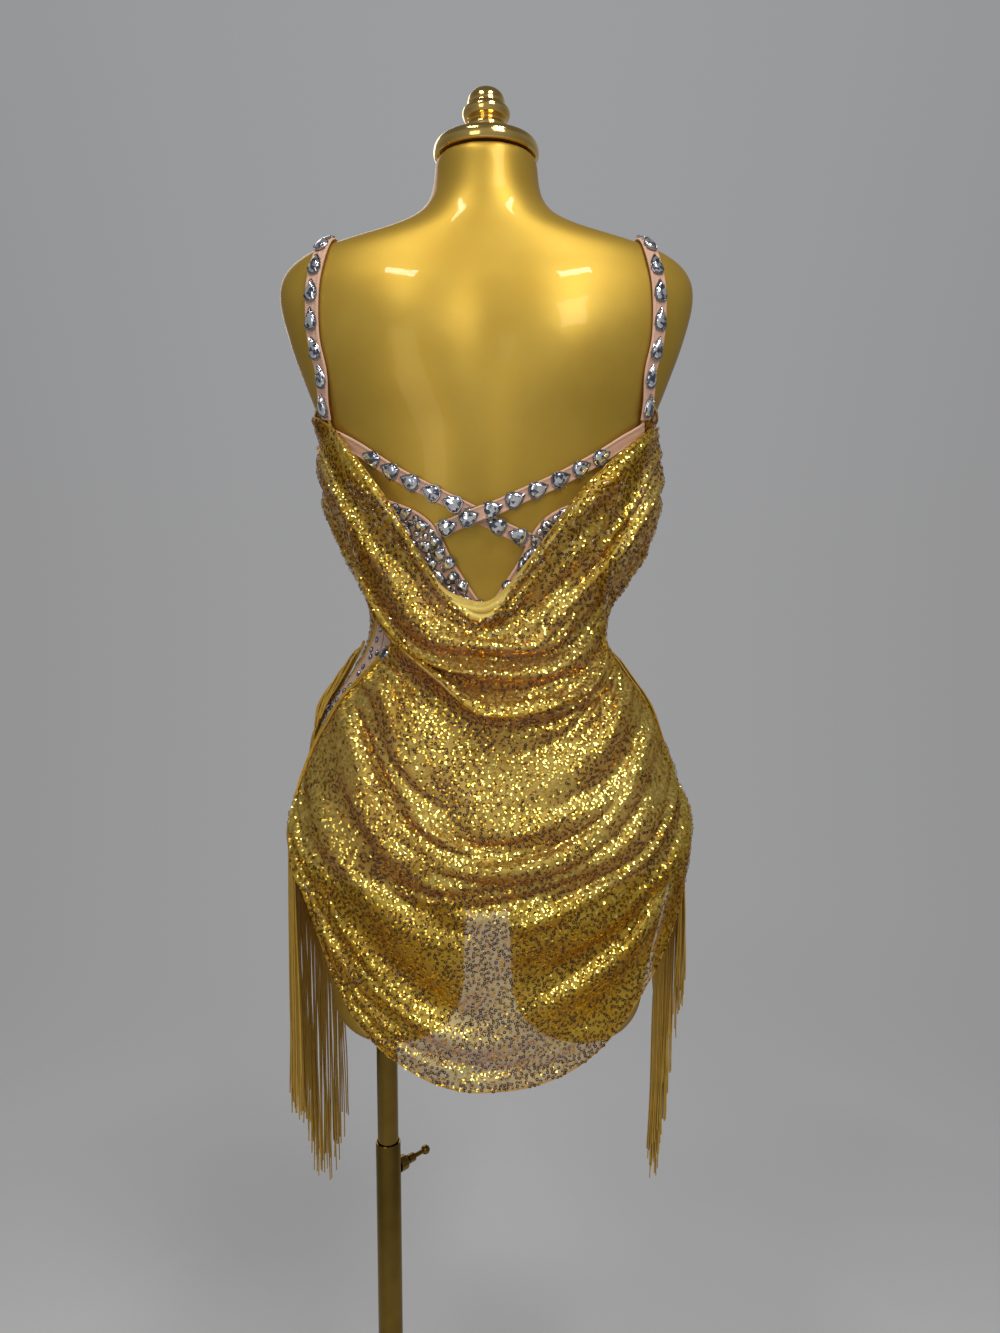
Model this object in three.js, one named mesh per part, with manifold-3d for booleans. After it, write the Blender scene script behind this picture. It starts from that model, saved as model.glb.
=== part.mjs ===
// Draped sequin bodysuit with a cowl back, standing on a limbless dress form with a round base.
// Millimetres, +Z up. The garment's front faces -Y and its open back +Y; +X is the wearer's left.
// The origin lies on the floor under the middle of the base plate.
import * as THREE from 'three';
import { mergeVertices } from 'three/addons/utils/BufferGeometryUtils.js';
import Module from 'manifold-3d';

const wasm = await Module();
wasm.setup();

// Cloth sizes
const CLOTH = 1.6;
const SEAM_GAP = 0.3;
const BODY_GAP = 2;
const PANEL_TOP = BODY_GAP + CLOTH;
const OVER_PANEL = PANEL_TOP + SEAM_GAP;
const DRAPE_CLEARANCE = 6.5;

// Stand sizes
const POLE_X = 101;
const INNER_TUBE_RADIUS = 10.5;
const OUTER_TUBE_RADIUS = 12.5;
const OUTER_TUBE_BORE = 11.3;
const OUTER_TUBE_TOP = 515;
const SCREW_HEIGHT = 482;
const SCREW_HEADING = 225;
const SCREW_RADIUS = 2.3;
const SCREW_HOLE = SCREW_RADIUS + 0.5;
// The threaded boss round the screw: radius and distance from the tubes' axis.
const BOSS_PROFILE = [
  [SCREW_HOLE, 8], [7.5, 8], [7.5, 21], [6.5, 22.5], [SCREW_HOLE, 22.5], [SCREW_HOLE, 8],
];
// How far from the tubes' axis the screw's hole through the outer tube is cut.
const SCREW_HOLE_FROM = 5;
const SCREW_HOLE_TO = 16;
const BOSS_CUT_HALF_HEIGHT = 15;
const INNER_TUBE_BOTTOM = 130;
const BASE_RADIUS = 190;
const BASE_THICKNESS = 7;

// Dress form sizes
const FORM_BOTTOM = 795;
const FORM_SEGMENTS = 30;
const FORM_RING_SPACING = 38;
const SOCKET_RADIUS = 11.2;
const SOCKET_TOP = 742;
const SOCKET_CUT_DEPTH = 142;
const NECK_TOP = 1460;

// Horizontal sections of the torso by height: half width, depth behind, depth in front and how
// square the section is, where 2 is an ellipse.
const TORSO = [
  { z: 795, half: 179, back: 98, front: 91, square: 2.6 },
  { z: 816, half: 184.5, back: 112, front: 96, square: 2.5 },
  { z: 840, half: 186, back: 120, front: 99, square: 2.4 },
  { z: 866, half: 183, back: 121, front: 100, square: 2.3 },
  { z: 893, half: 174, back: 115, front: 97, square: 2.2 },
  { z: 925, half: 161, back: 102, front: 94, square: 2.1 },
  { z: 960, half: 147, back: 87, front: 88, square: 2 },
  { z: 995, half: 124, back: 75, front: 79, square: 2 },
  { z: 1030, half: 108.5, back: 68, front: 73, square: 2 },
  { z: 1070, half: 110.5, back: 71, front: 78, square: 2 },
  { z: 1115, half: 123, back: 79, front: 98, square: 2 },
  { z: 1150, half: 133, back: 84, front: 118, square: 2 },
  { z: 1185, half: 142, back: 88, front: 126, square: 2 },
  { z: 1220, half: 152, back: 90, front: 119, square: 2.1 },
  { z: 1254, half: 165, back: 90, front: 105, square: 2.2 },
  { z: 1298, half: 181, back: 86, front: 88, square: 2.2 },
  { z: 1337, half: 189.8, back: 76, front: 72, square: 2.1 },
  { z: 1360, half: 183.5, back: 67, front: 62, square: 2 },
  { z: 1376, half: 162, back: 61, front: 56, square: 2 },
  { z: 1386, half: 130, back: 58, front: 53, square: 2 },
  { z: 1394, half: 98, back: 56, front: 51, square: 2 },
  { z: 1406, half: 68, back: 53, front: 49, square: 2 },
  { z: 1421, half: 53, back: 50, front: 47, square: 2 },
  { z: 1440, half: 47.5, back: 47.5, front: 46.5, square: 2 },
  { z: NECK_TOP, half: 46.5, back: 46.5, front: 46.5, square: 2 },
];

// Sections of the left thigh stump; the right one mirrors it.
const STUMP = [
  { z: 645, x: 88, half: 36, back: 42, front: 38 },
  { z: 648, x: 88, half: 47, back: 56, front: 50 },
  { z: 658, x: 88, half: 57, back: 70, front: 62 },
  { z: 672, x: 88, half: 63, back: 80, front: 71 },
  { z: 695, x: 89, half: 65.5, back: 84, front: 74 },
  { z: 730, x: 92, half: 70, back: 86, front: 77 },
  { z: 765, x: 95, half: 75, back: 88, front: 79 },
  { z: 797, x: 96, half: 78, back: 88, front: 80 },
  { z: 835, x: 92, half: 70, back: 80, front: 70 },
];

// How far the draped cloth hangs out on the wearer's right and left, by height.
const DRAPE_REACH = [
  { z: 600, right: 158, left: 158 }, { z: 700, right: 178, left: 178 }, { z: 760, right: 188, left: 188 },
  { z: 800, right: 192.5, left: 192.5 }, { z: 840, right: 191, left: 191 }, { z: 890, right: 182, left: 182 },
  { z: 925, right: 170, left: 169 }, { z: 955, right: 157, left: 156 }, { z: 985, right: 141, left: 139 },
  { z: 1005, right: 129, left: 127 }, { z: 1030, right: 118, left: 118 }, { z: 1057, right: 119, left: 119 },
  { z: 1085, right: 136, left: 124 }, { z: 1110, right: 150, left: 136 }, { z: 1150, right: 162, left: 151 },
  { z: 1184, right: 163, left: 157 }, { z: 1215, right: 158, left: 154 }, { z: 1240, right: 152, left: 151 },
];

// The drape from its faced top edge to its hem. Each row is one crest, valley or turn of the cloth:
// its height at seven places round the back, how far it stands out behind at the centre, and the
// angles from the centre back at which it ends on the wearer's right and left.
const DRAPE = [
  { fold: 'facing edge', z: [1223, 1212, 1167, 1064, 1157, 1220, 1229], out: 94, right: 93, left: 93 },
  { fold: 'cowl edge', z: [1220, 1208, 1159, 1055, 1149, 1217, 1228], out: 110, right: 96, left: 96 },
  { fold: 'first valley', z: [1203, 1184, 1094, 1039, 1104, 1194, 1210], out: 103, right: 98, left: 98 },
  { fold: 'first crest', z: [1182, 1146, 1040, 1027, 1054, 1172, 1196], out: 119, right: 98, left: 98 },
  { fold: 'second valley', z: [1148, 1074, 1026, 1016, 1034, 1096, 1170], out: 102, right: 97, left: 97 },
  { fold: 'second crest', z: [1106, 1044, 1010, 1003, 1022, 1076, 1138], out: 116, right: 94, left: 92 },
  { fold: 'third valley', z: [1050, 1016, 994, 990, 1010, 1030, 1062], out: 103, right: 80, left: 66 },
  { fold: 'swag edge', z: [1034, 1000, 978, 971, 1000, 1021, 1037], out: 125, right: 73, left: 50 },
  { fold: 'swag turn', z: [1026, 1000, 984, 978, 1002, 1016, 1027], out: 113, right: 72, left: 49 },
  { fold: 'under swag', z: [1016, 985, 952, 941, 976, 1004, 1016], out: 106, right: 73, left: 51 },
  { fold: 'first skirt crest', z: [1003, 968, 915, 878, 932, 986, 1002], out: 124, right: 76, left: 56 },
  { fold: 'first skirt valley', z: [980, 945, 890, 858, 898, 958, 984], out: 118, right: 82, left: 63 },
  { fold: 'second skirt crest', z: [962, 930, 870, 838, 866, 933, 964], out: 138, right: 88, left: 67 },
  { fold: 'second skirt valley', z: [936, 900, 842, 812, 828, 888, 934], out: 130, right: 92, left: 73 },
  { fold: 'third skirt crest', z: [908, 866, 808, 772, 800, 857, 908], out: 136, right: 94, left: 75 },
  { fold: 'third skirt valley', z: [888, 840, 766, 722, 744, 822, 890], out: 126, right: 95, left: 72 },
  { fold: 'fourth skirt crest', z: [870, 818, 744, 694, 713, 770, 872], out: 133, right: 95, left: 69 },
  { fold: 'fourth skirt valley', z: [850, 780, 706, 668, 683, 735, 856], out: 124, right: 94, left: 67 },
  { fold: 'hem', z: [838, 742, 664, 642, 657, 706, 848], out: 127, right: 93, left: 66 },
];
const DRAPE_ROWS_BETWEEN_FOLDS = 2;
const DRAPE_COLUMNS = 30;

// Side edge of the front panel on each side, by height, as degrees from the centre back.
const SIDE_SEAM = [
  { z: 840, angle: 132 }, { z: 880, angle: 122 }, { z: 923, angle: 107 }, { z: 952, angle: 94 },
  { z: 984, angle: 80 }, { z: 1009, angle: 73 }, { z: 1050, angle: 66 }, { z: 1090, angle: 63 },
  { z: 1250, angle: 63 },
];

// Back edge of the side insets, which narrow to a point at the waist.
const INSET_BACK = [
  { z: 820, angle: 48 }, { z: 1078, angle: 60 }, { z: 1150, angle: 62 },
];
const INSET_TOP = 1078;
// Half the gap at a side seam, in degrees round the body.
const SEAM_BREAK = 0.4;
// A panel's slanting edges are found in steps, starting from where they stand at the waist.
const WAIST_HEIGHT = 1000;
const EDGE_STEPS = 6;

// Leg line of the front panel, the insets and the seat: height by degrees from the centre back.
const LEG_LINE = [
  { angle: 0, z: 806 }, { angle: 9, z: 806 }, { angle: 24, z: 812 }, { angle: 50, z: 830 },
  { angle: 75, z: 856 }, { angle: 95, z: 880 }, { angle: 112, z: 890 }, { angle: 130, z: 882 },
  { angle: 150, z: 850 }, { angle: 166, z: 818 }, { angle: 172, z: 806 }, { angle: 180, z: 806 },
];

// Neckline of the front panel: height by degrees from the centre back.
const NECKLINE = [
  { angle: 63, z: 1238 }, { angle: 90, z: 1228 }, { angle: 112, z: 1246 }, { angle: 126, z: 1262 },
  { angle: 140, z: 1252 }, { angle: 160, z: 1226 }, { angle: 180, z: 1216 },
];

// Upper edge of the stone-covered back band: height by degrees from the centre back.
const BAND_EDGE = [
  { angle: 0, z: 1056 }, { angle: 3.5, z: 1063 }, { angle: 7, z: 1073 }, { angle: 11, z: 1086 },
  { angle: 15, z: 1101 }, { angle: 18, z: 1117 }, { angle: 22, z: 1131 }, { angle: 28, z: 1141 },
  { angle: 36, z: 1148 }, { angle: 48, z: 1156 }, { angle: 63, z: 1172 },
];
const BAND_DEPTH = 46;
const BAND_SEAM = 1.9;
const BAND_START = 0.2;
const BAND_END = 62.3;
const STONE_HEIGHT = 4.5;
// Points across a strap as shares of its width, and how much of a stone's height each one rises.
const STRAP_ACROSS = [-0.5, -0.22, 0.22, 0.5];
const STONE_RELIEF = [0, 1, 1, 0];

// Straps as stations on the form: x, height, side of the form (1 behind, -1 in front), lift of the underside.
const SHOULDER_STRAP = {
  width: 14.5,
  stonePitch: 25,
  stations: [
    { x: 139, z: 1231, side: 1, lift: OVER_PANEL },
    { x: 140, z: 1240, side: 1, lift: OVER_PANEL },
    { x: 142, z: 1262, side: 1, lift: BODY_GAP },
    { x: 148, z: 1290, side: 1, lift: BODY_GAP },
    { x: 149, z: 1335, side: 1, lift: BODY_GAP },
    { x: 144, z: 1366, side: 1, lift: BODY_GAP },
    { x: 141, z: 1380, side: 1, lift: BODY_GAP },
    { x: 141, z: 1380, side: -1, lift: BODY_GAP },
    { x: 139, z: 1362, side: -1, lift: BODY_GAP },
    { x: 133, z: 1325, side: -1, lift: BODY_GAP },
    { x: 124, z: 1290, side: -1, lift: BODY_GAP },
    { x: 119, z: 1272, side: -1, lift: BODY_GAP + 0.9 },
    { x: 117, z: 1261, side: -1, lift: OVER_PANEL },
    { x: 115, z: 1250, side: -1, lift: OVER_PANEL },
  ],
};
const CROSS_STRAP_UNDER = {
  width: 12.5,
  stonePitch: 21,
  bareBelow: 0.2,
  stations: [
    { x: 135, z: 1211, side: 1, lift: OVER_PANEL },
    { x: 129, z: 1208, side: 1, lift: OVER_PANEL },
    { x: 112, z: 1197, side: 1, lift: BODY_GAP },
    { x: 76, z: 1173, side: 1, lift: BODY_GAP },
    { x: 36, z: 1152, side: 1, lift: BODY_GAP },
    { x: 8, z: 1138, side: 1, lift: BODY_GAP },
    { x: -19, z: 1124, side: 1, lift: BODY_GAP },
    { x: -36.5, z: 1116.5, side: 1, lift: BODY_GAP },
  ],
};
const CROSS_STRAP_OVER = {
  width: 12.5,
  stonePitch: 21,
  bareAbove: 0.8,
  stations: [
    { x: 41, z: 1124.5, side: 1, lift: BODY_GAP },
    { x: 26, z: 1130, side: 1, lift: 4 },
    { x: 8, z: 1138, side: 1, lift: 9.4 },
    { x: -12, z: 1145, side: 1, lift: 4 },
    { x: -32, z: 1154, side: 1, lift: BODY_GAP },
    { x: -59, z: 1166, side: 1, lift: BODY_GAP },
    { x: -98, z: 1188, side: 1, lift: BODY_GAP },
    { x: -118, z: 1202, side: 1, lift: BODY_GAP + 0.6 },
    { x: -129, z: 1210, side: 1, lift: OVER_PANEL },
    { x: -137, z: 1216, side: 1, lift: OVER_PANEL },
  ],
};

// Fringe that hangs from a tape beside the hem: the tape's path and the height where strands end.
const HEM_FRINGE = {
  left: {
    tape: [{ x: 179.5, y: 55, z: 863 }, { x: 194, y: 18, z: 842 }, { x: 197, y: -8, z: 812 },
      { x: 188, y: -34, z: 760 }, { x: 171, y: -58, z: 702 }, { x: 155, y: -72, z: 664 }],
    ends: [600, 560, 540, 450, 490],
  },
  right: {
    tape: [{ x: -193.4, y: -8, z: 856 }, { x: -195, y: -17, z: 830 }, { x: -192, y: -25, z: 796 },
      { x: -182, y: -36, z: 735 }, { x: -174, y: -46, z: 680 }, { x: -180, y: -52, z: 618 }],
    ends: [700, 640, 520, 470, 455],
  },
};
const HEM_STRANDS = 28;
const HIP_STRANDS = 18;
const STRAND_RADIUS = 1.3;
const STRAND_TIP_RADIUS = 0.78;
const TAPE_HEIGHT = 9;
const TAPE_THICKNESS = 3;
// Fringe tape over the hip, as degrees from the centre back by height.
const HIP_TAPE = {
  left: [{ z: 1048, angle: 76 }, { z: 1022, angle: 81 }, { z: 990, angle: 89 }, { z: 958, angle: 100 },
    { z: 928, angle: 111 }, { z: 904, angle: 119 }],
  right: [{ z: 1012, angle: 102 }, { z: 985, angle: 107 }, { z: 955, angle: 114 }, { z: 925, angle: 123 },
    { z: 904, angle: 131 }],
};
// Fringe tapes and the drape's held edges stand this far off the panels.
const EDGE_CLEARANCE = 1.1;
const HIP_TAPE_LIFT = OVER_PANEL + EDGE_CLEARANCE + TAPE_THICKNESS / 2;
const HIP_STRAND_LENGTH = 150;
const HIP_STRAND_STEPS = 3;
const HIP_STRAND_CLEARANCE = 2;
const HIP_ROOT_DROP = 0.36 * TAPE_HEIGHT;
const HIP_STRAND_UNEVENNESS = 0.15;
const TAPE_STEPS = 10;
// Strand roots start this share of the tape in from its ends.
const TAPE_MARGIN = 0.03;
// Unevenness of the hanging strands: sideways sway and the spread of their ends.
const STRAND_SWAY = 3.2;
const STRAND_END_SPREAD = 22;

const GUSSET_HALF_WIDTH = 15;
const GUSSET_CORNER = 3;
const GUSSET_FLAT_INSET = 30;
// Share of the drape's half width, from its edge in, over which it comes down onto the panels.
const DRAPE_HELD_SHARE = 0.14;
const DRAPE_HELD_LIFT = OVER_PANEL + EDGE_CLEARANCE + CLOTH / 2;
// Places across the drape that its table gives heights for, from the wearer's right edge to the left.
const DRAPE_PLACES = [-1, -0.68, -0.36, 0, 0.36, 0.68, 1];

const GOLD_CLOTH = { color: 0xc8922a, roughness: 0.45, metalness: 0.55 };
const NUDE_CLOTH = { color: 0xd9a98f, roughness: 0.8, metalness: 0 };
const STRAP_CLOTH = { color: 0xe0a386, roughness: 0.6, metalness: 0 };
const STONE_CLOTH = { color: 0xc9c6c4, roughness: 0.2, metalness: 0.3 };
const FRINGE_CORD = { color: 0xb8861f, roughness: 0.6, metalness: 0.1 };
const FORM_PAINT = { color: 0xb07c1c, roughness: 0.18, metalness: 0.6 };
const CAP_METAL = { color: 0xc99a3a, roughness: 0.08, metalness: 1 };
const STAND_METAL = { color: 0x7a6536, roughness: 0.25, metalness: 1 };

// Straight-line lookup in a table sorted by one column.
function lookUp(table, key, value, column) {
  const last = table.length - 1;
  if (value <= table[0][key]) return table[0][column];
  if (value >= table[last][key]) return table[last][column];
  const next = table.findIndex((row) => row[key] > value);
  const low = table[next - 1];
  const high = table[next];
  const t = (value - low[key]) / (high[key] - low[key]);
  return low[column] + (high[column] - low[column]) * t;
}

// Smooth lookup through the same rows, with the slopes of a Catmull-Rom spline.
function smoothLookUp(table, key, value, column) {
  const last = table.length - 1;
  const clamped = Math.min(Math.max(value, table[0][key]), table[last][key]);
  const found = table.findIndex((row) => row[key] > clamped);
  const i = found < 0 ? last - 1 : Math.max(found - 1, 0);
  const slope = (k) => {
    const a = table[Math.max(k - 1, 0)];
    const b = table[Math.min(k + 1, last)];
    return (b[column] - a[column]) / (b[key] - a[key]);
  };
  const span = table[i + 1][key] - table[i][key];
  const t = (clamped - table[i][key]) / span;
  const t2 = t * t;
  const t3 = t2 * t;
  return (2 * t3 - 3 * t2 + 1) * table[i][column] + (t3 - 2 * t2 + t) * span * slope(i)
    + (3 * t2 - 2 * t3) * table[i + 1][column] + (t3 - t2) * span * slope(i + 1);
}

function smoothStep(value) {
  const t = Math.min(Math.max(value, 0), 1);
  return t * t * (3 - 2 * t);
}

function radians(degrees) {
  return degrees * Math.PI / 180;
}

function torso(z, column) {
  return smoothLookUp(TORSO, 'z', z, column);
}

// Point of the form's skin at degrees from the centre back, +X side positive.
function skinPoint(degrees, z) {
  const angle = radians(degrees);
  const depth = torso(z, Math.cos(angle) > 0 ? 'back' : 'front');
  const power = 2 / torso(z, 'square');
  const squared = (value) => Math.sign(value) * Math.abs(value) ** power;
  return new THREE.Vector3(torso(z, 'half') * squared(Math.sin(angle)), depth * squared(Math.cos(angle)), z);
}

// Degrees from the centre back at which the skin has this x.
function degreesAt(x, z) {
  const sine = Math.min(Math.abs(x) / torso(z, 'half'), 1) ** (torso(z, 'square') / 2);
  return Math.sign(x) * Math.asin(sine) * 180 / Math.PI;
}

// The same point moved straight out from the skin.
function liftedPoint(degrees, z, lift) {
  const point = skinPoint(degrees, z);
  const around = skinPoint(degrees + 0.5, z).sub(skinPoint(degrees - 0.5, z));
  const high = Math.min(z + 1, NECK_TOP);
  const up = skinPoint(degrees, high).sub(skinPoint(degrees, high - 2));
  const normal = new THREE.Vector3().crossVectors(up, around).normalize();
  if (normal.dot(new THREE.Vector3(point.x, point.y, 0)) < 0) normal.negate();
  return point.addScaledVector(normal, lift);
}

// Closed wall between an outer grid of points and the inner grid behind it. Each cell is split
// along the diagonal that lies further out, so that no cell cuts into what it wraps.
function wall(outer, inner) {
  const rows = outer.length;
  const columns = outer[0].length;
  const positions = [];
  const triangles = [];
  for (const grid of [outer, inner]) {
    for (const row of grid) for (const p of row) positions.push(p.x, p.y, p.z);
  }
  const at = (layer, r, c) => (layer * rows + r) * columns + c;
  const quad = (a, b, c, d) => triangles.push(a, b, c, a, c, d);
  const spread = (p, q) => Math.hypot(p.x + q.x, p.y + q.y);
  for (let r = 0; r < rows - 1; r += 1) {
    for (let c = 0; c < columns - 1; c += 1) {
      const falling = spread(outer[r][c], outer[r + 1][c + 1]) > spread(outer[r][c + 1], outer[r + 1][c]);
      if (falling) {
        quad(at(0, r, c), at(0, r, c + 1), at(0, r + 1, c + 1), at(0, r + 1, c));
        quad(at(1, r, c), at(1, r + 1, c), at(1, r + 1, c + 1), at(1, r, c + 1));
      } else {
        quad(at(0, r, c + 1), at(0, r + 1, c + 1), at(0, r + 1, c), at(0, r, c));
        quad(at(1, r + 1, c), at(1, r + 1, c + 1), at(1, r, c + 1), at(1, r, c));
      }
    }
    quad(at(0, r, 0), at(0, r + 1, 0), at(1, r + 1, 0), at(1, r, 0));
    quad(at(0, r, columns - 1), at(1, r, columns - 1), at(1, r + 1, columns - 1), at(0, r + 1, columns - 1));
  }
  for (let c = 0; c < columns - 1; c += 1) {
    quad(at(0, 0, c), at(1, 0, c), at(1, 0, c + 1), at(0, 0, c + 1));
    quad(at(0, rows - 1, c), at(0, rows - 1, c + 1), at(1, rows - 1, c + 1), at(1, rows - 1, c));
  }
  return outwardGeometry(positions, triangles);
}

// Geometry whose faces point out, whichever way the grid ran.
function outwardGeometry(positions, triangles) {
  let volume = 0;
  const a = new THREE.Vector3();
  const b = new THREE.Vector3();
  const c = new THREE.Vector3();
  for (let i = 0; i < triangles.length; i += 3) {
    a.fromArray(positions, triangles[i] * 3);
    b.fromArray(positions, triangles[i + 1] * 3);
    c.fromArray(positions, triangles[i + 2] * 3);
    volume += a.dot(b.cross(c));
  }
  const facing = volume > 0 ? triangles : triangles.slice().reverse();
  const geometry = new THREE.BufferGeometry();
  geometry.setAttribute('position', new THREE.Float32BufferAttribute(positions, 3));
  geometry.setIndex(facing);
  return geometry;
}

// Closed loft through rings of points, with a middle point at each end unless the rings are triangles.
function loft(rings) {
  const size = rings[0].length;
  const positions = [];
  const triangles = [];
  for (const ring of rings) for (const p of ring) positions.push(p.x, p.y, p.z);
  for (let r = 0; r < rings.length - 1; r += 1) {
    for (let i = 0; i < size; i += 1) {
      const j = (i + 1) % size;
      const low = r * size;
      const high = low + size;
      triangles.push(low + i, low + j, high + j, low + i, high + j, high + i);
    }
  }
  if (size === 3) {
    const top = (rings.length - 1) * size;
    triangles.push(0, 2, 1, top, top + 1, top + 2);
    return outwardGeometry(positions, triangles);
  }
  [rings[0], rings[rings.length - 1]].forEach((ring, end) => {
    const middle = ring.reduce((sum, p) => sum.add(p), new THREE.Vector3()).divideScalar(size);
    const centre = positions.length / 3;
    const first = end === 0 ? 0 : (rings.length - 1) * size;
    positions.push(middle.x, middle.y, middle.z);
    for (let i = 0; i < size; i += 1) {
      const j = (i + 1) % size;
      if (end === 0) triangles.push(centre, first + j, first + i);
      else triangles.push(centre, first + i, first + j);
    }
  });
  return outwardGeometry(positions, triangles);
}

function toManifold(geometry) {
  const bare = geometry.clone();
  bare.deleteAttribute('normal');
  bare.deleteAttribute('uv');
  const merged = mergeVertices(bare, 1e-4);
  return new wasm.Manifold(new wasm.Mesh({
    numProp: 3,
    vertProperties: new Float32Array(merged.attributes.position.array),
    triVerts: new Uint32Array(merged.index.array),
  }));
}

function fromManifold(solid) {
  const mesh = solid.getMesh();
  const geometry = new THREE.BufferGeometry();
  geometry.setAttribute('position', new THREE.Float32BufferAttribute(mesh.vertProperties, 3));
  geometry.setIndex(Array.from(mesh.triVerts));
  return geometry;
}

// Round piece turned about a vertical line at x; the profile is [radius, height] pairs.
function turned(profile, x, segments) {
  const geometry = new THREE.LatheGeometry(profile.map(([r, z]) => new THREE.Vector2(r, z)), segments);
  geometry.rotateX(Math.PI / 2);
  geometry.translate(x, 0, 0);
  return mergeVertices(stripped(geometry), 1e-4);
}

function stripped(geometry) {
  geometry.deleteAttribute('normal');
  geometry.deleteAttribute('uv');
  return geometry;
}

const bodysuit = new THREE.Group();

function addPiece(name, geometry, finish) {
  const mesh = new THREE.Mesh(geometry, new THREE.MeshStandardMaterial(finish));
  mesh.name = name;
  bodysuit.add(mesh);
}

// Dress form: torso, two thigh stumps and the pole's blind socket in the left one.
function torsoGeometry() {
  const heights = TORSO.flatMap(({ z }, i) => {
    const next = TORSO[i + 1]?.z ?? z;
    return next - z > FORM_RING_SPACING ? [z, (z + next) / 2] : [z];
  });
  return loft(heights.map((z) => Array.from({ length: FORM_SEGMENTS }, (_, i) => (
    skinPoint(i * 360 / FORM_SEGMENTS, z)))));
}

function stumpGeometry(side) {
  const segments = 24;
  const rings = STUMP.map((section) => Array.from({ length: segments }, (_, i) => {
    const angle = i * 2 * Math.PI / segments;
    const depth = Math.cos(angle) > 0 ? section.back : section.front;
    const x = side * section.x + section.half * Math.sin(angle);
    return new THREE.Vector3(x, depth * Math.cos(angle), section.z);
  }));
  return loft(rings);
}

function formGeometry() {
  const low = SOCKET_TOP - SOCKET_CUT_DEPTH;
  const socket = turned([[0, low], [SOCKET_RADIUS, low], [SOCKET_RADIUS, SOCKET_TOP], [0, SOCKET_TOP]],
    POLE_X, 24);
  const solid = toManifold(torsoGeometry())
    .add(toManifold(stumpGeometry(1)))
    .add(toManifold(stumpGeometry(-1)))
    .subtract(toManifold(socket));
  return fromManifold(solid);
}

// Drape: one wall through all the folds.
function drapePoint(fold, across) {
  const end = across < 0 ? fold.right : fold.left;
  const degrees = across * end;
  const profile = DRAPE_PLACES.map((place, i) => ({ place, z: fold.z[i] }));
  const z = smoothLookUp(profile, 'place', across, 'z');
  const reach = smoothLookUp(DRAPE_REACH, 'z', z, across < 0 ? 'right' : 'left');
  const angle = radians(degrees);
  const free = new THREE.Vector3(reach * Math.sin(angle), fold.out * Math.cos(angle), z);
  const seam = liftedPoint(degrees, z, DRAPE_HELD_LIFT);
  const held = smoothStep((Math.abs(across) - 1 + DRAPE_HELD_SHARE) / DRAPE_HELD_SHARE);
  return pushedClear(free).lerp(seam, held);
}

// Moves a point out of the form and the panels that lie on it.
function pushedClear(point) {
  const half = torso(point.z, 'half') + DRAPE_CLEARANCE;
  const back = torso(point.z, point.y > 0 ? 'back' : 'front') + DRAPE_CLEARANCE;
  const square = torso(point.z, 'square');
  const share = (Math.abs(point.x / half) ** square + Math.abs(point.y / back) ** square) ** (1 / square);
  if (share >= 1 || point.z < FORM_BOTTOM) return point;
  return new THREE.Vector3(point.x / share, point.y / share, point.z);
}

// The drape's row at a position between two folds, on a Catmull-Rom curve through the table.
function foldBetween(position) {
  const i = Math.min(Math.floor(position), DRAPE.length - 2);
  const t = position - i;
  const columns = ['out', 'right', 'left'];
  const ease = (get) => {
    const before = get(DRAPE[Math.max(i - 1, 0)]);
    const a = get(DRAPE[i]);
    const b = get(DRAPE[i + 1]);
    const after = get(DRAPE[Math.min(i + 2, DRAPE.length - 1)]);
    return 0.5 * (2 * a + (b - before) * t + (2 * before - 5 * a + 4 * b - after) * t * t
      + (3 * a - before - 3 * b + after) * t * t * t);
  };
  const fold = Object.fromEntries(columns.map((column) => [column, ease((row) => row[column])]));
  fold.z = DRAPE[i].z.map((_, place) => ease((row) => row.z[place]));
  return fold;
}

// Outer and inner grids half a wall either side of a middle grid.
function thickened(middle, thickness) {
  const rows = middle.length;
  const columns = middle[0].length;
  const normal = (r, c) => {
    const along = middle[r][Math.min(c + 1, columns - 1)].clone().sub(middle[r][Math.max(c - 1, 0)]);
    const down = middle[Math.min(r + 1, rows - 1)][c].clone().sub(middle[Math.max(r - 1, 0)][c]);
    return new THREE.Vector3().crossVectors(along, down).normalize();
  };
  const move = (side) => middle.map((row, r) => row.map((p, c) => (
    p.clone().addScaledVector(normal(r, c), side * thickness / 2))));
  return wall(move(1), move(-1));
}

function drapeGeometry() {
  const steps = (DRAPE.length - 1) * DRAPE_ROWS_BETWEEN_FOLDS;
  const middle = [];
  for (let r = 0; r <= steps; r += 1) {
    const fold = foldBetween(r / DRAPE_ROWS_BETWEEN_FOLDS);
    const row = [];
    for (let c = 0; c <= DRAPE_COLUMNS; c += 1) row.push(drapePoint(fold, 2 * c / DRAPE_COLUMNS - 1));
    middle.push(row);
  }
  return thickened(middle, CLOTH);
}

// Panel that lies on the form between two edges and a top and bottom line.
function panelGeometry({ columns, rows, angle, top, bottom, raise = () => 0 }) {
  const grid = (lift, raised) => Array.from({ length: rows + 1 }, (_, r) => (
    Array.from({ length: columns + 1 }, (_unused, c) => {
      const u = c / columns;
      const v = r / rows;
      let degrees = angle(u, WAIST_HEIGHT);
      let z = 0;
      for (let pass = 0; pass < EDGE_STEPS; pass += 1) {
        z = top(degrees) + (bottom(degrees) - top(degrees)) * v;
        degrees = angle(u, z);
      }
      return liftedPoint(degrees, z, lift + (raised ? raise(r, c) : 0));
    })));
  return wall(grid(BODY_GAP + CLOTH, true), grid(BODY_GAP, false));
}

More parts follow.
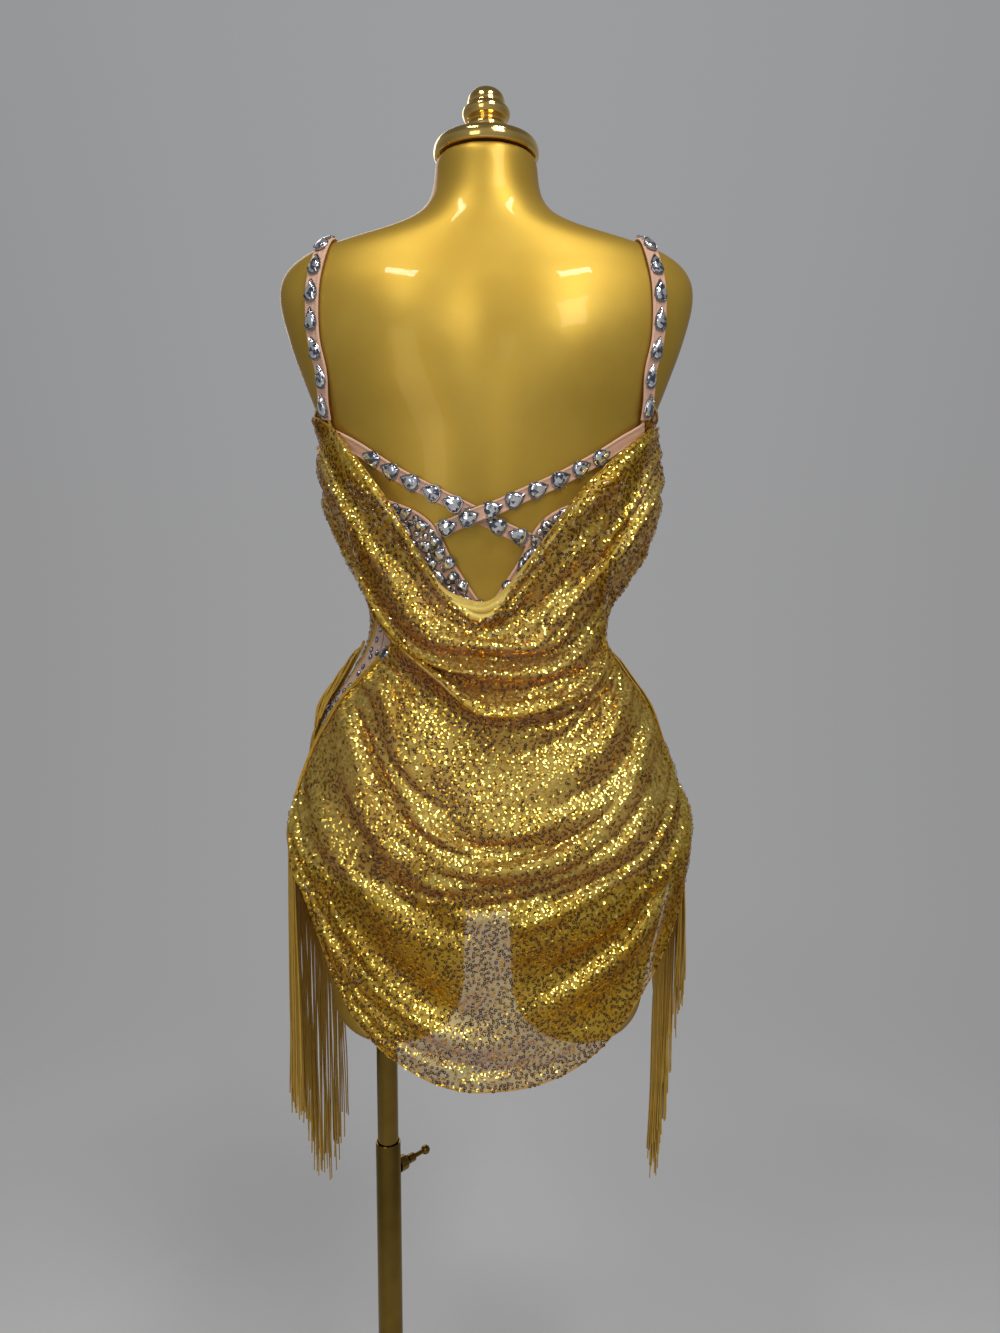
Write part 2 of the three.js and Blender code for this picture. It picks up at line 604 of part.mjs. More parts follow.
const seamAt = (z) => smoothLookUp(SIDE_SEAM, 'z', z, 'angle');
const insetBackAt = (z) => lookUp(INSET_BACK, 'z', z, 'angle');
const legLineAt = (degrees) => lookUp(LEG_LINE, 'angle', Math.abs(degrees), 'z');
const necklineAt = (degrees) => smoothLookUp(NECKLINE, 'angle', Math.abs(degrees), 'z');
const bandEdgeAt = (degrees) => smoothLookUp(BAND_EDGE, 'angle', Math.abs(degrees), 'z');

function frontPanelGeometry() {
  return panelGeometry({
    columns: 18,
    rows: 14,
    angle: (u, z) => seamAt(z) + (360 - 2 * seamAt(z)) * u,
    top: (degrees) => necklineAt(degrees > 180 ? 360 - degrees : degrees),
    bottom: (degrees) => legLineAt(degrees > 180 ? 360 - degrees : degrees),
  });
}

function insetGeometry(side) {
  const from = (z) => insetBackAt(z) + SEAM_BREAK;
  const to = (z) => seamAt(z) - SEAM_BREAK;
  return panelGeometry({
    columns: 5,
    rows: 10,
    angle: (u, z) => side * (from(z) + (to(z) - from(z)) * u),
    top: () => INSET_TOP,
    bottom: legLineAt,
  });
}

function seatGeometry() {
  return panelGeometry({
    columns: 16,
    rows: 9,
    angle: (u, z) => (insetBackAt(z) - SEAM_BREAK) * (2 * u - 1),
    top: (degrees) => bandEdgeAt(degrees) - BAND_DEPTH - BAND_SEAM,
    bottom: legLineAt,
  });
}

function bandGeometry(side) {
  return panelGeometry({
    columns: 16,
    rows: 6,
    angle: (u) => side * (BAND_START + (BAND_END - BAND_START) * u),
    top: bandEdgeAt,
    bottom: (degrees) => bandEdgeAt(degrees) - BAND_DEPTH,
    raise: (r, c) => (r % 2 === 1 && c % 2 === 1 ? STONE_HEIGHT : 0),
  });
}

// Strap along its stations, with one raised stone for every pitch of its length.
function strapGeometry({ width, stonePitch, stations, bareBelow = 0, bareAbove = 1 }, mirror = 1) {
  const place = (station, extra) => {
    const turn = degreesAt(station.x, station.z);
    const point = liftedPoint(station.side > 0 ? turn : 180 - turn, station.z, station.lift + extra);
    return point.setX(point.x * mirror);
  };
  const path = new THREE.CatmullRomCurve3(stations.map((station) => place(station, 0)), false, 'centripetal');
  const upperPoints = stations.map((station) => place(station, 1));
  const upper = new THREE.CatmullRomCurve3(upperPoints, false, 'centripetal');
  const stones = Math.round(path.getLength() / stonePitch);
  const rows = stones * 2;
  const outer = [];
  const inner = [];
  for (let r = 0; r <= rows; r += 1) {
    const t = r / rows;
    const middle = path.getPoint(path.getUtoTmapping(t));
    const up = upper.getPoint(path.getUtoTmapping(t)).sub(middle).normalize();
    const sideways = new THREE.Vector3().crossVectors(path.getTangentAt(t), up).normalize();
    const stone = r % 2 === 1 && t > bareBelow && t < bareAbove ? STONE_HEIGHT : 0;
    const point = (share, lift) => middle.clone()
      .addScaledVector(sideways, share * width)
      .addScaledVector(up, lift);
    outer.push(STRAP_ACROSS.map((share, i) => point(share, CLOTH + stone * STONE_RELIEF[i])));
    inner.push(STRAP_ACROSS.map((share) => point(share, 0)));
  }
  return wall(outer, inner);
}

// Gusset from the front panel's point, under the form and up to the seat panel.
function gussetGeometry() {
  const top = legLineAt(0) - SEAM_GAP;
  const corner = FORM_BOTTOM + GUSSET_CORNER;
  const under = (y) => (x, lift) => new THREE.Vector3(x, y, FORM_BOTTOM - lift);
  const onSkin = (z, side) => (x, lift) => {
    const turn = degreesAt(x, z);
    return liftedPoint(side > 0 ? turn : 180 - turn, z, lift);
  };
  const frontEdge = skinPoint(180, FORM_BOTTOM).y;
  const backEdge = skinPoint(0, FORM_BOTTOM).y;
  const stations = [
    onSkin(top, -1), onSkin(corner, -1), under(frontEdge + CLOTH), under(frontEdge + GUSSET_FLAT_INSET),
    under(0), under(backEdge - GUSSET_FLAT_INSET), under(backEdge - CLOTH), onSkin(corner, 1),
    onSkin(top, 1),
  ];
  const grid = (lift) => stations.map((station) => [-1, 0, 1].map((share) => (
    station(share * GUSSET_HALF_WIDTH, lift))));
  return wall(grid(BODY_GAP + CLOTH), grid(BODY_GAP));
}

// Fringe: thin strands whose roots are inside one narrow tape.
function strandGeometry(path) {
  const rings = path.map((p, i) => {
    const radius = i === path.length - 1 ? STRAND_TIP_RADIUS : STRAND_RADIUS;
    return [0, 120, 240].map((turn) => new THREE.Vector3(
      p.x + radius * Math.cos(radians(turn)), p.y + radius * Math.sin(radians(turn)), p.z));
  });
  return loft(rings);
}

// Tape along stations, each a middle point and the direction that the tape's face looks in.
function tapeGeometry(stations) {
  const last = stations.length - 1;
  const grid = (offset) => stations.map(({ point, out }, i) => {
    const along = stations[Math.min(i + 1, last)].point.clone().sub(stations[Math.max(i - 1, 0)].point);
    const across = new THREE.Vector3().crossVectors(along, out).normalize();
    return [-0.5, 0.5].map((share) => (
      point.clone().addScaledVector(across, share * TAPE_HEIGHT).addScaledVector(out, offset)));
  });
  return wall(grid(TAPE_THICKNESS / 2), grid(-TAPE_THICKNESS / 2));
}

function fringeGeometry(stations, strandPaths) {
  const strands = strandPaths.map((path) => toManifold(strandGeometry(path)));
  const joined = strands.reduce((solid, strand) => solid.add(strand), toManifold(tapeGeometry(stations)));
  return fromManifold(joined);
}

// Strands of the side fringe hang straight down and spread a little, uneven at the ends.
function hemFringeGeometry({ tape, ends }) {
  const curve = new THREE.CatmullRomCurve3(tape.map(({ x, y, z }) => new THREE.Vector3(x, y, z)));
  const endTable = ends.map((z, i) => ({ t: i / (ends.length - 1), z }));
  const paths = Array.from({ length: HEM_STRANDS }, (_, i) => {
    const t = TAPE_MARGIN + (1 - 2 * TAPE_MARGIN) * i / (HEM_STRANDS - 1);
    const root = curve.getPointAt(t);
    const end = smoothLookUp(endTable, 't', t, 'z') + STRAND_END_SPREAD * Math.sin(i * 1.7);
    const turn = i * 2.4;
    const sway = new THREE.Vector3(STRAND_SWAY * Math.sin(turn), STRAND_SWAY * Math.cos(turn), end - root.z);
    return [root, root.clone().add(sway)];
  });
  const stations = Array.from({ length: TAPE_STEPS + 1 }, (_, i) => {
    const point = curve.getPointAt(i / TAPE_STEPS);
    return { point, out: new THREE.Vector3(point.x, point.y, 0).normalize() };
  });
  return fringeGeometry(stations, paths);
}

// Strands of the hip fringe fall over the hip, each in a plane across the body.
function hipFringeGeometry(tape, side) {
  const rising = [...tape].reverse();
  const station = (t) => {
    const z = tape[0].z + (tape[tape.length - 1].z - tape[0].z) * t;
    const degrees = side * smoothLookUp(rising, 'z', z, 'angle');
    const point = liftedPoint(degrees, z, HIP_TAPE_LIFT);
    return { point, out: liftedPoint(degrees, z, HIP_TAPE_LIFT + 1).sub(point).normalize() };
  };
  const paths = Array.from({ length: HIP_STRANDS }, (_, i) => {
    const t = TAPE_MARGIN + (1 - 2 * TAPE_MARGIN) * i / (HIP_STRANDS - 1);
    const { point, out } = station(t);
    const along = station(t + 0.02).point.sub(station(t - 0.02).point);
    const downward = new THREE.Vector3().crossVectors(along, out).normalize();
    if (downward.z > 0) downward.negate();
    const root = point.addScaledVector(downward, HIP_ROOT_DROP);
    const length = HIP_STRAND_LENGTH * (1 - HIP_STRAND_UNEVENNESS * (1 - Math.sin(i * 2.1)));
    const path = [root];
    for (let k = 1; k <= HIP_STRAND_STEPS; k += 1) {
      const before = path[k - 1];
      const z = root.z - length * k / HIP_STRAND_STEPS;
      const reach = skinReach(before.y, z) + HIP_TAPE_LIFT + HIP_STRAND_CLEARANCE;
      path.push(new THREE.Vector3(side * Math.max(side * before.x, reach), before.y, z));
    }
    return path;
  });
  return fringeGeometry(Array.from({ length: TAPE_STEPS + 1 }, (_, i) => station(i / TAPE_STEPS)), paths);
}

// How far the skin reaches to the side at this depth and height.
function skinReach(y, z) {
  const high = Math.max(z, FORM_BOTTOM);
  const square = torso(high, 'square');
  const depth = torso(high, y > 0 ? 'back' : 'front');
  return torso(high, 'half') * Math.max(1 - Math.abs(y / depth) ** square, 0) ** (1 / square);
}

// Round parts of the stand
function tubeGeometry(outerRadius, bore, from, to) {
  return turned([[bore, from], [outerRadius, from], [outerRadius, to], [bore, to], [bore, from]], POLE_X, 24);
}

// Geometry made along +Z from the pole's axis, laid down along the clamp screw's heading.
function alongScrew(geometry) {
  geometry.rotateY(Math.PI / 2);
  geometry.rotateZ(radians(SCREW_HEADING));
  geometry.translate(POLE_X, 0, SCREW_HEIGHT);
  return geometry;
}

function screwProfile(profile, segments) {
  const geometry = new THREE.LatheGeometry(profile.map(([r, z]) => new THREE.Vector2(r, z)), segments);
  geometry.rotateX(Math.PI / 2);
  return mergeVertices(stripped(alongScrew(geometry)), 1e-4);
}

function outerTubeGeometry() {
  const tube = tubeGeometry(OUTER_TUBE_RADIUS, OUTER_TUBE_BORE, BASE_THICKNESS + SEAM_GAP, OUTER_TUBE_TOP);
  const hole = screwProfile([[0, SCREW_HOLE_FROM], [SCREW_HOLE, SCREW_HOLE_FROM],
    [SCREW_HOLE, SCREW_HOLE_TO], [0, SCREW_HOLE_TO]], 20);
  return fromManifold(toManifold(tube).subtract(toManifold(hole)));
}

// Boss: a threaded ring whose root is hollowed to sit on the tube.
function bossGeometry() {
  const ring = screwProfile(BOSS_PROFILE, 24);
  const seat = OUTER_TUBE_RADIUS + SEAM_GAP;
  const low = SCREW_HEIGHT - BOSS_CUT_HALF_HEIGHT;
  const high = SCREW_HEIGHT + BOSS_CUT_HALF_HEIGHT;
  const tube = turned([[0, low], [seat, low], [seat, high], [0, high]], POLE_X, 24);
  return fromManifold(toManifold(ring).subtract(toManifold(tube)));
}

const SCREW_PROFILE = [
  [0, INNER_TUBE_RADIUS + SEAM_GAP], [SCREW_RADIUS, INNER_TUBE_RADIUS + SEAM_GAP], [SCREW_RADIUS, 25],
  [4.4, 25.5], [4.4, 33], [3.6, 34], [SCREW_RADIUS, 34.5], [SCREW_RADIUS, 45], [3.9, 46.2], [4.6, 48.6],
  [4.4, 50.8], [3.1, 52.6], [0, 53.4],
];

const BASE_PROFILE = [
  [0, 0], [BASE_RADIUS - 1.5, 0], [BASE_RADIUS, 1.5], [BASE_RADIUS, BASE_THICKNESS - 3],
  [BASE_RADIUS - 3, BASE_THICKNESS], [0, BASE_THICKNESS],
];

const FLANGE_PROFILE = [
  [OUTER_TUBE_RADIUS + SEAM_GAP, BASE_THICKNESS],
  [31, BASE_THICKNESS], [31, 11], [29, 13], [19, 15], [17, 24],
  [OUTER_TUBE_RADIUS + SEAM_GAP, 24], [OUTER_TUBE_RADIUS + SEAM_GAP, BASE_THICKNESS],
];

const CAP_PROFILE = [
  [0, NECK_TOP], [45.5, NECK_TOP], [47.2, NECK_TOP + 1.5], [47.8, NECK_TOP + 5], [47.2, NECK_TOP + 9],
  [45, NECK_TOP + 12.5], [41, NECK_TOP + 14], [0, NECK_TOP + 14.5],
];

const FINIAL_PROFILE = [
  [0, 1474.8], [24, 1474.8], [25, 1476.5], [23.5, 1479], [20.5, 1482], [20, 1487], [17, 1489.5], [16.5, 1492],
  [19.5, 1494], [21.5, 1498], [21, 1502], [17.5, 1505.5], [17, 1509], [15.5, 1514], [12, 1518], [7, 1520.5],
  [0, 1521.5],
];

addPiece('form_torso', formGeometry(), FORM_PAINT);
addPiece('back_drape', drapeGeometry(), GOLD_CLOTH);
addPiece('front_panel', frontPanelGeometry(), GOLD_CLOTH);
addPiece('side_inset_left', insetGeometry(1), NUDE_CLOTH);
addPiece('side_inset_right', insetGeometry(-1), NUDE_CLOTH);
addPiece('seat_panel', seatGeometry(), NUDE_CLOTH);
addPiece('crotch_gusset', gussetGeometry(), NUDE_CLOTH);
addPiece('back_band_left', bandGeometry(1), STONE_CLOTH);
addPiece('back_band_right', bandGeometry(-1), STONE_CLOTH);
addPiece('shoulder_strap_left', strapGeometry(SHOULDER_STRAP), STRAP_CLOTH);
addPiece('shoulder_strap_right', strapGeometry(SHOULDER_STRAP, -1), STRAP_CLOTH);
addPiece('cross_strap_under', strapGeometry(CROSS_STRAP_UNDER), STRAP_CLOTH);
addPiece('cross_strap_over', strapGeometry(CROSS_STRAP_OVER), STRAP_CLOTH);

addPiece('fringe_hem_left', hemFringeGeometry(HEM_FRINGE.left), FRINGE_CORD);
addPiece('fringe_hem_right', hemFringeGeometry(HEM_FRINGE.right), FRINGE_CORD);
addPiece('fringe_hip_left', hipFringeGeometry(HIP_TAPE.left, 1), FRINGE_CORD);
addPiece('fringe_hip_right', hipFringeGeometry(HIP_TAPE.right, -1), FRINGE_CORD);
addPiece('neck_cap', turned(CAP_PROFILE.map(([r, z]) => [r, z + SEAM_GAP]), 0, 28), CAP_METAL);
addPiece('finial', turned(FINIAL_PROFILE.map(([r, z]) => [r, z + 2 * SEAM_GAP]), 0, 18), CAP_METAL);
addPiece('inner_tube', turned([[0, INNER_TUBE_BOTTOM], [INNER_TUBE_RADIUS, INNER_TUBE_BOTTOM],
  [INNER_TUBE_RADIUS, SOCKET_TOP - SEAM_GAP], [0, SOCKET_TOP - SEAM_GAP]], POLE_X, 24), STAND_METAL);
addPiece('outer_tube', outerTubeGeometry(), STAND_METAL);
addPiece('clamp_boss', bossGeometry(), STAND_METAL);
addPiece('clamp_screw', screwProfile(SCREW_PROFILE, 14), CAP_METAL);
addPiece('base_flange', turned(FLANGE_PROFILE.map(([r, z]) => [r, z + SEAM_GAP]), POLE_X, 28), STAND_METAL);
addPiece('base_plate', turned(BASE_PROFILE, 0, 48), STAND_METAL);

export default bodysuit;
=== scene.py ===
"""Sequin dance bodysuit with a cowl back, a draped skirt and fringe, on a gold dress form.

Sizes are in millimetres, +Z up; the open back faces +Y and the wearer's left is +X. Each mesh is
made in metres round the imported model, which stays where it is.
"""
import logging
import math
from collections.abc import Callable, Sequence
from dataclasses import dataclass, field
from enum import Enum

import bpy
import numpy as np
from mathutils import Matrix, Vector, kdtree

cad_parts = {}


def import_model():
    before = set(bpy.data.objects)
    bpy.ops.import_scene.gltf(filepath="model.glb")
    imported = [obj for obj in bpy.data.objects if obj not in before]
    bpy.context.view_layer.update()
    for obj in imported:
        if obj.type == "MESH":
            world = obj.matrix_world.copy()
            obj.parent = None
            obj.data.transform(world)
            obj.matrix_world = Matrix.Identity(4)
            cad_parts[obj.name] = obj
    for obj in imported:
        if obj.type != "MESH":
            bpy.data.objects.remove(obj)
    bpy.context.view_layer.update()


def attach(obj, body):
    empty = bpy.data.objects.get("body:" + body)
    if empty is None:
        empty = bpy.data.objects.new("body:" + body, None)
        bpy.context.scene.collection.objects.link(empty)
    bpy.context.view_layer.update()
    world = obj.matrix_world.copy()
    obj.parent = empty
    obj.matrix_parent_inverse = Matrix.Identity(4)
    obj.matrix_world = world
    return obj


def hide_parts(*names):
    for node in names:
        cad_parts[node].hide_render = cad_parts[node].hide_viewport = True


log = logging.getLogger("bodysuit")
Array = np.ndarray

METRES = 0.001
CLOTH = 1.6
SEAM_GAP = 0.3
BODY_GAP = 2.0
PANEL_TOP = BODY_GAP + CLOTH
OVER_PANEL = PANEL_TOP + SEAM_GAP
HELD_LIFT = OVER_PANEL + 1.1 + CLOTH / 2
DRAPE_CLEARANCE = 6.5
FORM_BOTTOM = 795.0
NECK_TOP = 1460.0
POLE_X = 101.0
SCREW_HEIGHT = 482.0
SCREW_HEADING = math.radians(225)


# Numbers: tables, routes and grids

class Track:
    """Smooth curve through a short table, held level past its ends."""

    def __init__(self, knots: Sequence[float], values: Sequence) -> None:
        """Keep the table and work out its slopes.

        Args:
            knots: Places in rising order.
            values: One number, or one row of numbers, for each place.
        """
        self.knots = np.asarray(knots, float)
        self.values = np.asarray(values, float)
        order = np.arange(len(self.knots))
        before = np.maximum(order - 1, 0)
        after = np.minimum(order + 1, len(self.knots) - 1)
        run = self.knots[after] - self.knots[before]
        self.slopes = ((self.values[after] - self.values[before]).T / run).T

    def __call__(self, at: Array | float) -> Array:
        """Return the curve's values at these places.

        Args:
            at: Places between the first and the last knot.

        Returns:
            One value, or one row of values, a place.
        """
        at = np.clip(np.asarray(at, float), self.knots[0], self.knots[-1])
        low = np.clip(np.searchsorted(self.knots, at, side="right") - 1, 0, len(self.knots) - 2)
        span = self.knots[low + 1] - self.knots[low]
        t = (at - self.knots[low]) / span
        if self.values.ndim > 1:
            t = t[..., None]
            span = span[..., None]
        square = t * t
        cube = square * t
        return ((2 * cube - 3 * square + 1) * self.values[low]
                + (3 * square - 2 * cube) * self.values[low + 1]
                + (cube - 2 * square + t) * span * self.slopes[low]
                + (cube - square) * span * self.slopes[low + 1])


class Route:
    """Centripetal spline through points, measured by its length."""

    STEPS = 40

    def __init__(self, points: Sequence[Sequence[float]]) -> None:
        """Sample the spline finely.

        Args:
            points: The places that it passes through.
        """
        p = np.asarray(points, float)
        p = np.vstack([2 * p[0] - p[1], p, 2 * p[-1] - p[-2]])
        samples = [p[1]]
        self.spans = len(p) - 3
        for i in range(self.spans):
            a, b, c, d = p[i:i + 4]
            knots = np.cumsum([0] + [max(np.linalg.norm(q - r), 1e-6) ** 0.5 for q,
                                     r in ((b, a), (c, b), (d, c))])
            t = np.linspace(knots[1], knots[2], self.STEPS + 1)[1:, None]
            k0, k1, k2, k3 = knots
            ab = (k1 - t) / (k1 - k0) * a + (t - k0) / (k1 - k0) * b
            bc = (k2 - t) / (k2 - k1) * b + (t - k1) / (k2 - k1) * c
            cd = (k3 - t) / (k3 - k2) * c + (t - k2) / (k3 - k2) * d
            abc = (k2 - t) / (k2 - k0) * ab + (t - k0) / (k2 - k0) * bc
            bcd = (k3 - t) / (k3 - k1) * bc + (t - k1) / (k3 - k1) * cd
            samples.extend((k2 - t) / (k2 - k1) * abc + (t - k1) / (k2 - k1) * bcd)
        self.samples = np.array(samples)
        steps = np.linalg.norm(np.diff(self.samples, axis=0), axis=1)
        self.lengths = np.concatenate([[0], np.cumsum(steps)])

    @property
    def length(self) -> float:
        """Length of the whole route."""
        return float(self.lengths[-1])

    def at(self, shares: Array) -> Array:
        """Return the points at these shares of the length."""
        return self.along(self.places(shares))

    def places(self, shares: Array) -> Array:
        """Return the sample numbers, with fractions, at these shares of the length."""
        return np.interp(np.asarray(shares) * self.length, self.lengths, np.arange(len(self.lengths)))

    def along(self, places: Array) -> Array:
        """Return the points at these sample numbers."""
        order = np.arange(len(self.samples))
        return np.stack([np.interp(places, order, self.samples[:, k]) for k in range(3)], axis=-1)


def unit(vectors: Array) -> Array:
    """Return the vectors at length 1."""
    return vectors / np.maximum(np.linalg.norm(vectors, axis=-1, keepdims=True), 1e-9)


def ease(value: Array) -> Array:
    """Return a smooth step from 0 to 1."""
    t = np.clip(value, 0, 1)
    return t * t * (3 - 2 * t)


def slopes_of(line: Array) -> Array:
    """Return the directions along a line of points."""
    return unit(np.gradient(line, axis=0))


def outward(grid: Array) -> Array:
    """Return the normals of a grid of points that face away from the body's axis.

    Args:
        grid: Points, rows x columns x 3.

    Returns:
        Unit normals, one a point.
    """
    normals = unit(np.cross(np.gradient(grid, axis=1), np.gradient(grid, axis=0)))
    flat = grid * (1, 1, 0)
    return normals * np.sign(np.sum(normals * flat))


@dataclass
class Shape:
    """Points and faces of a mesh in millimetres."""

    points: Array
    faces: list[Array]

    @staticmethod
    def joined(shapes: Sequence["Shape"]) -> "Shape":
        """Return one shape of several.

        Args:
            shapes: The shapes, in order.

        Returns:
            Their points and faces as one shape.
        """
        faces = []
        start = 0
        for shape in shapes:
            faces.extend(f + start for f in shape.faces)
            start += len(shape.points)
        return Shape(np.vstack([shape.points for shape in shapes]), faces)

    def scattered(self, places: Array, frames: Array, sizes: Array | None = None) -> "Shape":
        """Return a copy of this shape at each place.

        Args:
            places: Where the copies stand, one row each.
            frames: Each copy's three axes as rows.
            sizes: Each copy's scale along its own axes.

        Returns:
            The copies as one shape.
        """
        local = self.points[None] * (np.ones((len(places), 1, 3)) if sizes is None else sizes[:, None])
        points = np.einsum("nij,njk->nik", local, frames) + places[:, None]
        shift = (np.arange(len(places)) * len(self.points))[:, None, None]
        faces = [(f[None] + shift).reshape(-1, f.shape[1]) for f in self.faces]
        return Shape(points.reshape(-1, 3), faces)


def surface(grid: Array, closed: bool = False) -> Shape:
    """Return a grid of points as quads, closed round its columns where asked.

    Args:
        grid: Points, rows x columns x 3.
        closed: True where the last column joins the first.

    Returns:
        The quads.
    """
    rows, columns = grid.shape[:2]
    r, c = np.meshgrid(np.arange(rows - 1), np.arange(columns if closed else columns - 1), indexing="ij")
    after = (c + 1) % columns
    corners = [r * columns + c, (r + 1) * columns + c, (r + 1) * columns + after, r * columns + after]
    return Shape(grid.reshape(-1, 3), [np.stack(corners, -1).reshape(-1, 4)])


def shell(outer: Array, inner: Array) -> Shape:
    """Return the closed wall between an outer and an inner grid of points.

    Args:
        outer: Points of the outer face, rows x columns x 3.
        inner: Points of the inner face.

    Returns:
        The wall with its rim closed.
    """
    rows, columns = outer.shape[:2]
    count = rows * columns
    face = surface(outer).faces[0]
    number = np.arange(count).reshape(rows, columns)
    rim = np.concatenate([number[0, :], number[1:, -1], number[-1, -2::-1], number[-2:0:-1, 0]])
    following = np.roll(rim, -1)
    edge = np.stack([rim, following, following + count, rim + count], -1)
    points = np.vstack([outer.reshape(-1, 3), inner.reshape(-1, 3)])
    return Shape(points, [face, face[:, ::-1] + count, edge])


def thick(grid: Array, thickness: float) -> Shape:
    """Return a grid of points as a closed wall of this thickness, with the grid in its middle."""
    step = outward(grid) * thickness / 2
    return shell(grid + step, grid - step)


def tubes(paths: Array, radius: float, sides: int, taper: float = 1.0) -> Shape:
    """Return round strands along paths.

    Args:
        paths: Points of each strand, strands x points x 3.
        radius: The strands' radius.
        sides: Sides of each strand.
        taper: The radius at the far end, as a share.

    Returns:
        The strands with closed ends as one shape.
    """
    along = unit(np.gradient(paths, axis=1))
    across = unit(np.cross(along, np.array([0.31, 0.77, 0.56])))
    other = np.cross(along, across)
    count, steps = paths.shape[:2]
    turn = np.arange(sides) * 2 * math.pi / sides
    thin = radius * np.linspace(1, taper, steps)[None, :, None, None]
    ring = across[:, :, None] * np.cos(turn)[:, None] + other[:, :, None] * np.sin(turn)[:, None]
    points = (paths[:, :, None] + thin * ring).reshape(-1, 3)
    s, k, j = np.meshgrid(np.arange(count), np.arange(steps - 1), np.arange(sides), indexing="ij")
    low = (s * steps + k) * sides
    after = (j + 1) % sides
    walls = np.stack([low + j, low + after, low + sides + after, low + sides + j], -1).reshape(-1, 4)
    first = (np.arange(count) * steps * sides)[:, None]
    ends = np.vstack([first + np.arange(sides)[::-1], first + (steps - 1) * sides + np.arange(sides)])
    return Shape(points, [walls, ends])


def turned(profile: Sequence[tuple[float, float]], segments: int = 96) -> Shape:
    """Return the round piece that a (radius, height) profile makes about the Z axis.

    Args:
        profile: Its (radius, height) points.
        segments: Sides of the round.

    Returns:
        The round piece.
    """
    turn = np.arange(segments) * 2 * math.pi / segments
    rings = [np.stack([r * np.cos(turn), r * np.sin(turn), np.full(segments, z)], -1) for r, z in profile]
    return surface(np.array(rings), closed=True)


def rounded(profile: Sequence[tuple[float, float]], spacing: float = 1.2) -> list[tuple[float, float]]:
    """Return a profile as a smooth line through its points.

    Args:
        profile: Its (radius, height) points.
        spacing: Distance between its new points.

    Returns:
        The (radius, height) points of the smooth line.
    """
    route = Route([(r, 0, z) for r, z in profile])
    points = route.at(np.linspace(0, 1, int(route.length / spacing) + 2))
    return [(max(float(p[0]), 0.0), float(p[2])) for p in points]


# Blender meshes

def mesh_piece(name: str, shape: Shape, material: bpy.types.Material,
               smooth: float | None = 40) -> bpy.types.Object:
    """Make a mesh object in metres.

    Args:
        name: The piece's name.
        shape: Its points and faces.
        material: Its finish.
        smooth: Edges sharper than this many degrees stay sharp; None keeps every facet flat.

    Returns:
        The new object.
    """
    mesh = bpy.data.meshes.new(name)
    mesh.vertices.add(len(shape.points))
    mesh.vertices.foreach_set("co", (shape.points * METRES).astype(np.float32).ravel())
    corners = np.concatenate([f.ravel() for f in shape.faces])
    sizes = np.concatenate([np.full(len(f), f.shape[1]) for f in shape.faces])
    mesh.loops.add(len(corners))
    mesh.loops.foreach_set("vertex_index", corners.astype(np.int32))
    mesh.polygons.add(len(sizes))
    starts = np.concatenate([[0], np.cumsum(sizes)[:-1]])
    mesh.polygons.foreach_set("loop_start", starts.astype(np.int32))
    mesh.update(calc_edges=True)
    mesh.validate()
    if smooth is not None:
        mesh.shade_smooth()
        mesh.set_sharp_from_angle(angle=math.radians(smooth))
    mesh.materials.append(material)
    piece = bpy.data.objects.new(name, mesh)
    bpy.context.scene.collection.objects.link(piece)
    return piece


def dress(piece: bpy.types.Object, body: str, slot: str, *nodes: str) -> bpy.types.Object:
    """Fasten a piece to its body, hide the CAD nodes that it stands for and log its size.

    Args:
        piece: The piece.
        body: Name of its body.
        slot: Not used.
        nodes: The CAD nodes that it replaces.

    Returns:
        The same piece.
    """
    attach(piece, body)
    if nodes:
        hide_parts(*nodes)
    faces = sum(len(p.vertices) - 2 for p in piece.data.polygons)
    cloth = sum(p.area for p in piece.data.polygons) / 2
    log.info("%s rides %s, %d triangles, %.4f square metres a side", piece.name, body, faces, cloth)
    return piece


def with_modifiers(piece: bpy.types.Object) -> None:
    """Keep the result of a piece's modifiers as its mesh.

    Args:
        piece: The piece, which has no modifier left after it.
    """
    evaluated = piece.evaluated_get(bpy.context.evaluated_depsgraph_get())
    mesh = bpy.data.meshes.new_from_object(evaluated)
    piece.modifiers.clear()
    piece.data = mesh


# Shader sockets and nodes

class Value:
    """A shader socket that adds Math nodes when it is used in an expression."""

    def __init__(self, net: "Net", socket: bpy.types.NodeSocket) -> None:
        """Wrap a socket of a net."""
        self.net = net
        self.socket = socket

    def _math(self, operation: str, first: object, second: object) -> "Value":
        """Return the result of a Math node on two values."""
        return self.net.node("ShaderNodeMath", {"operation": operation}, {0: first, 1: second})

    def __add__(self, other: object) -> "Value":
        """Return self + other."""
        return self._math("ADD", self, other)

    __radd__ = __add__

    def __sub__(self, other: object) -> "Value":
        """Return self - other."""
        return self._math("SUBTRACT", self, other)

    def __rsub__(self, other: object) -> "Value":
        """Return other - self."""
        return self._math("SUBTRACT", other, self)

    def __mul__(self, other: object) -> "Value":
        """Return self * other."""
        return self._math("MULTIPLY", self, other)

    __rmul__ = __mul__

    def __pow__(self, other: object) -> "Value":
        """Return self ** other."""
        return self._math("POWER", self, other)

    def clamped(self) -> "Value":
        """Return this value held between 0 and 1."""
        return self.net.node("ShaderNodeClamp", {}, {"Value": self})


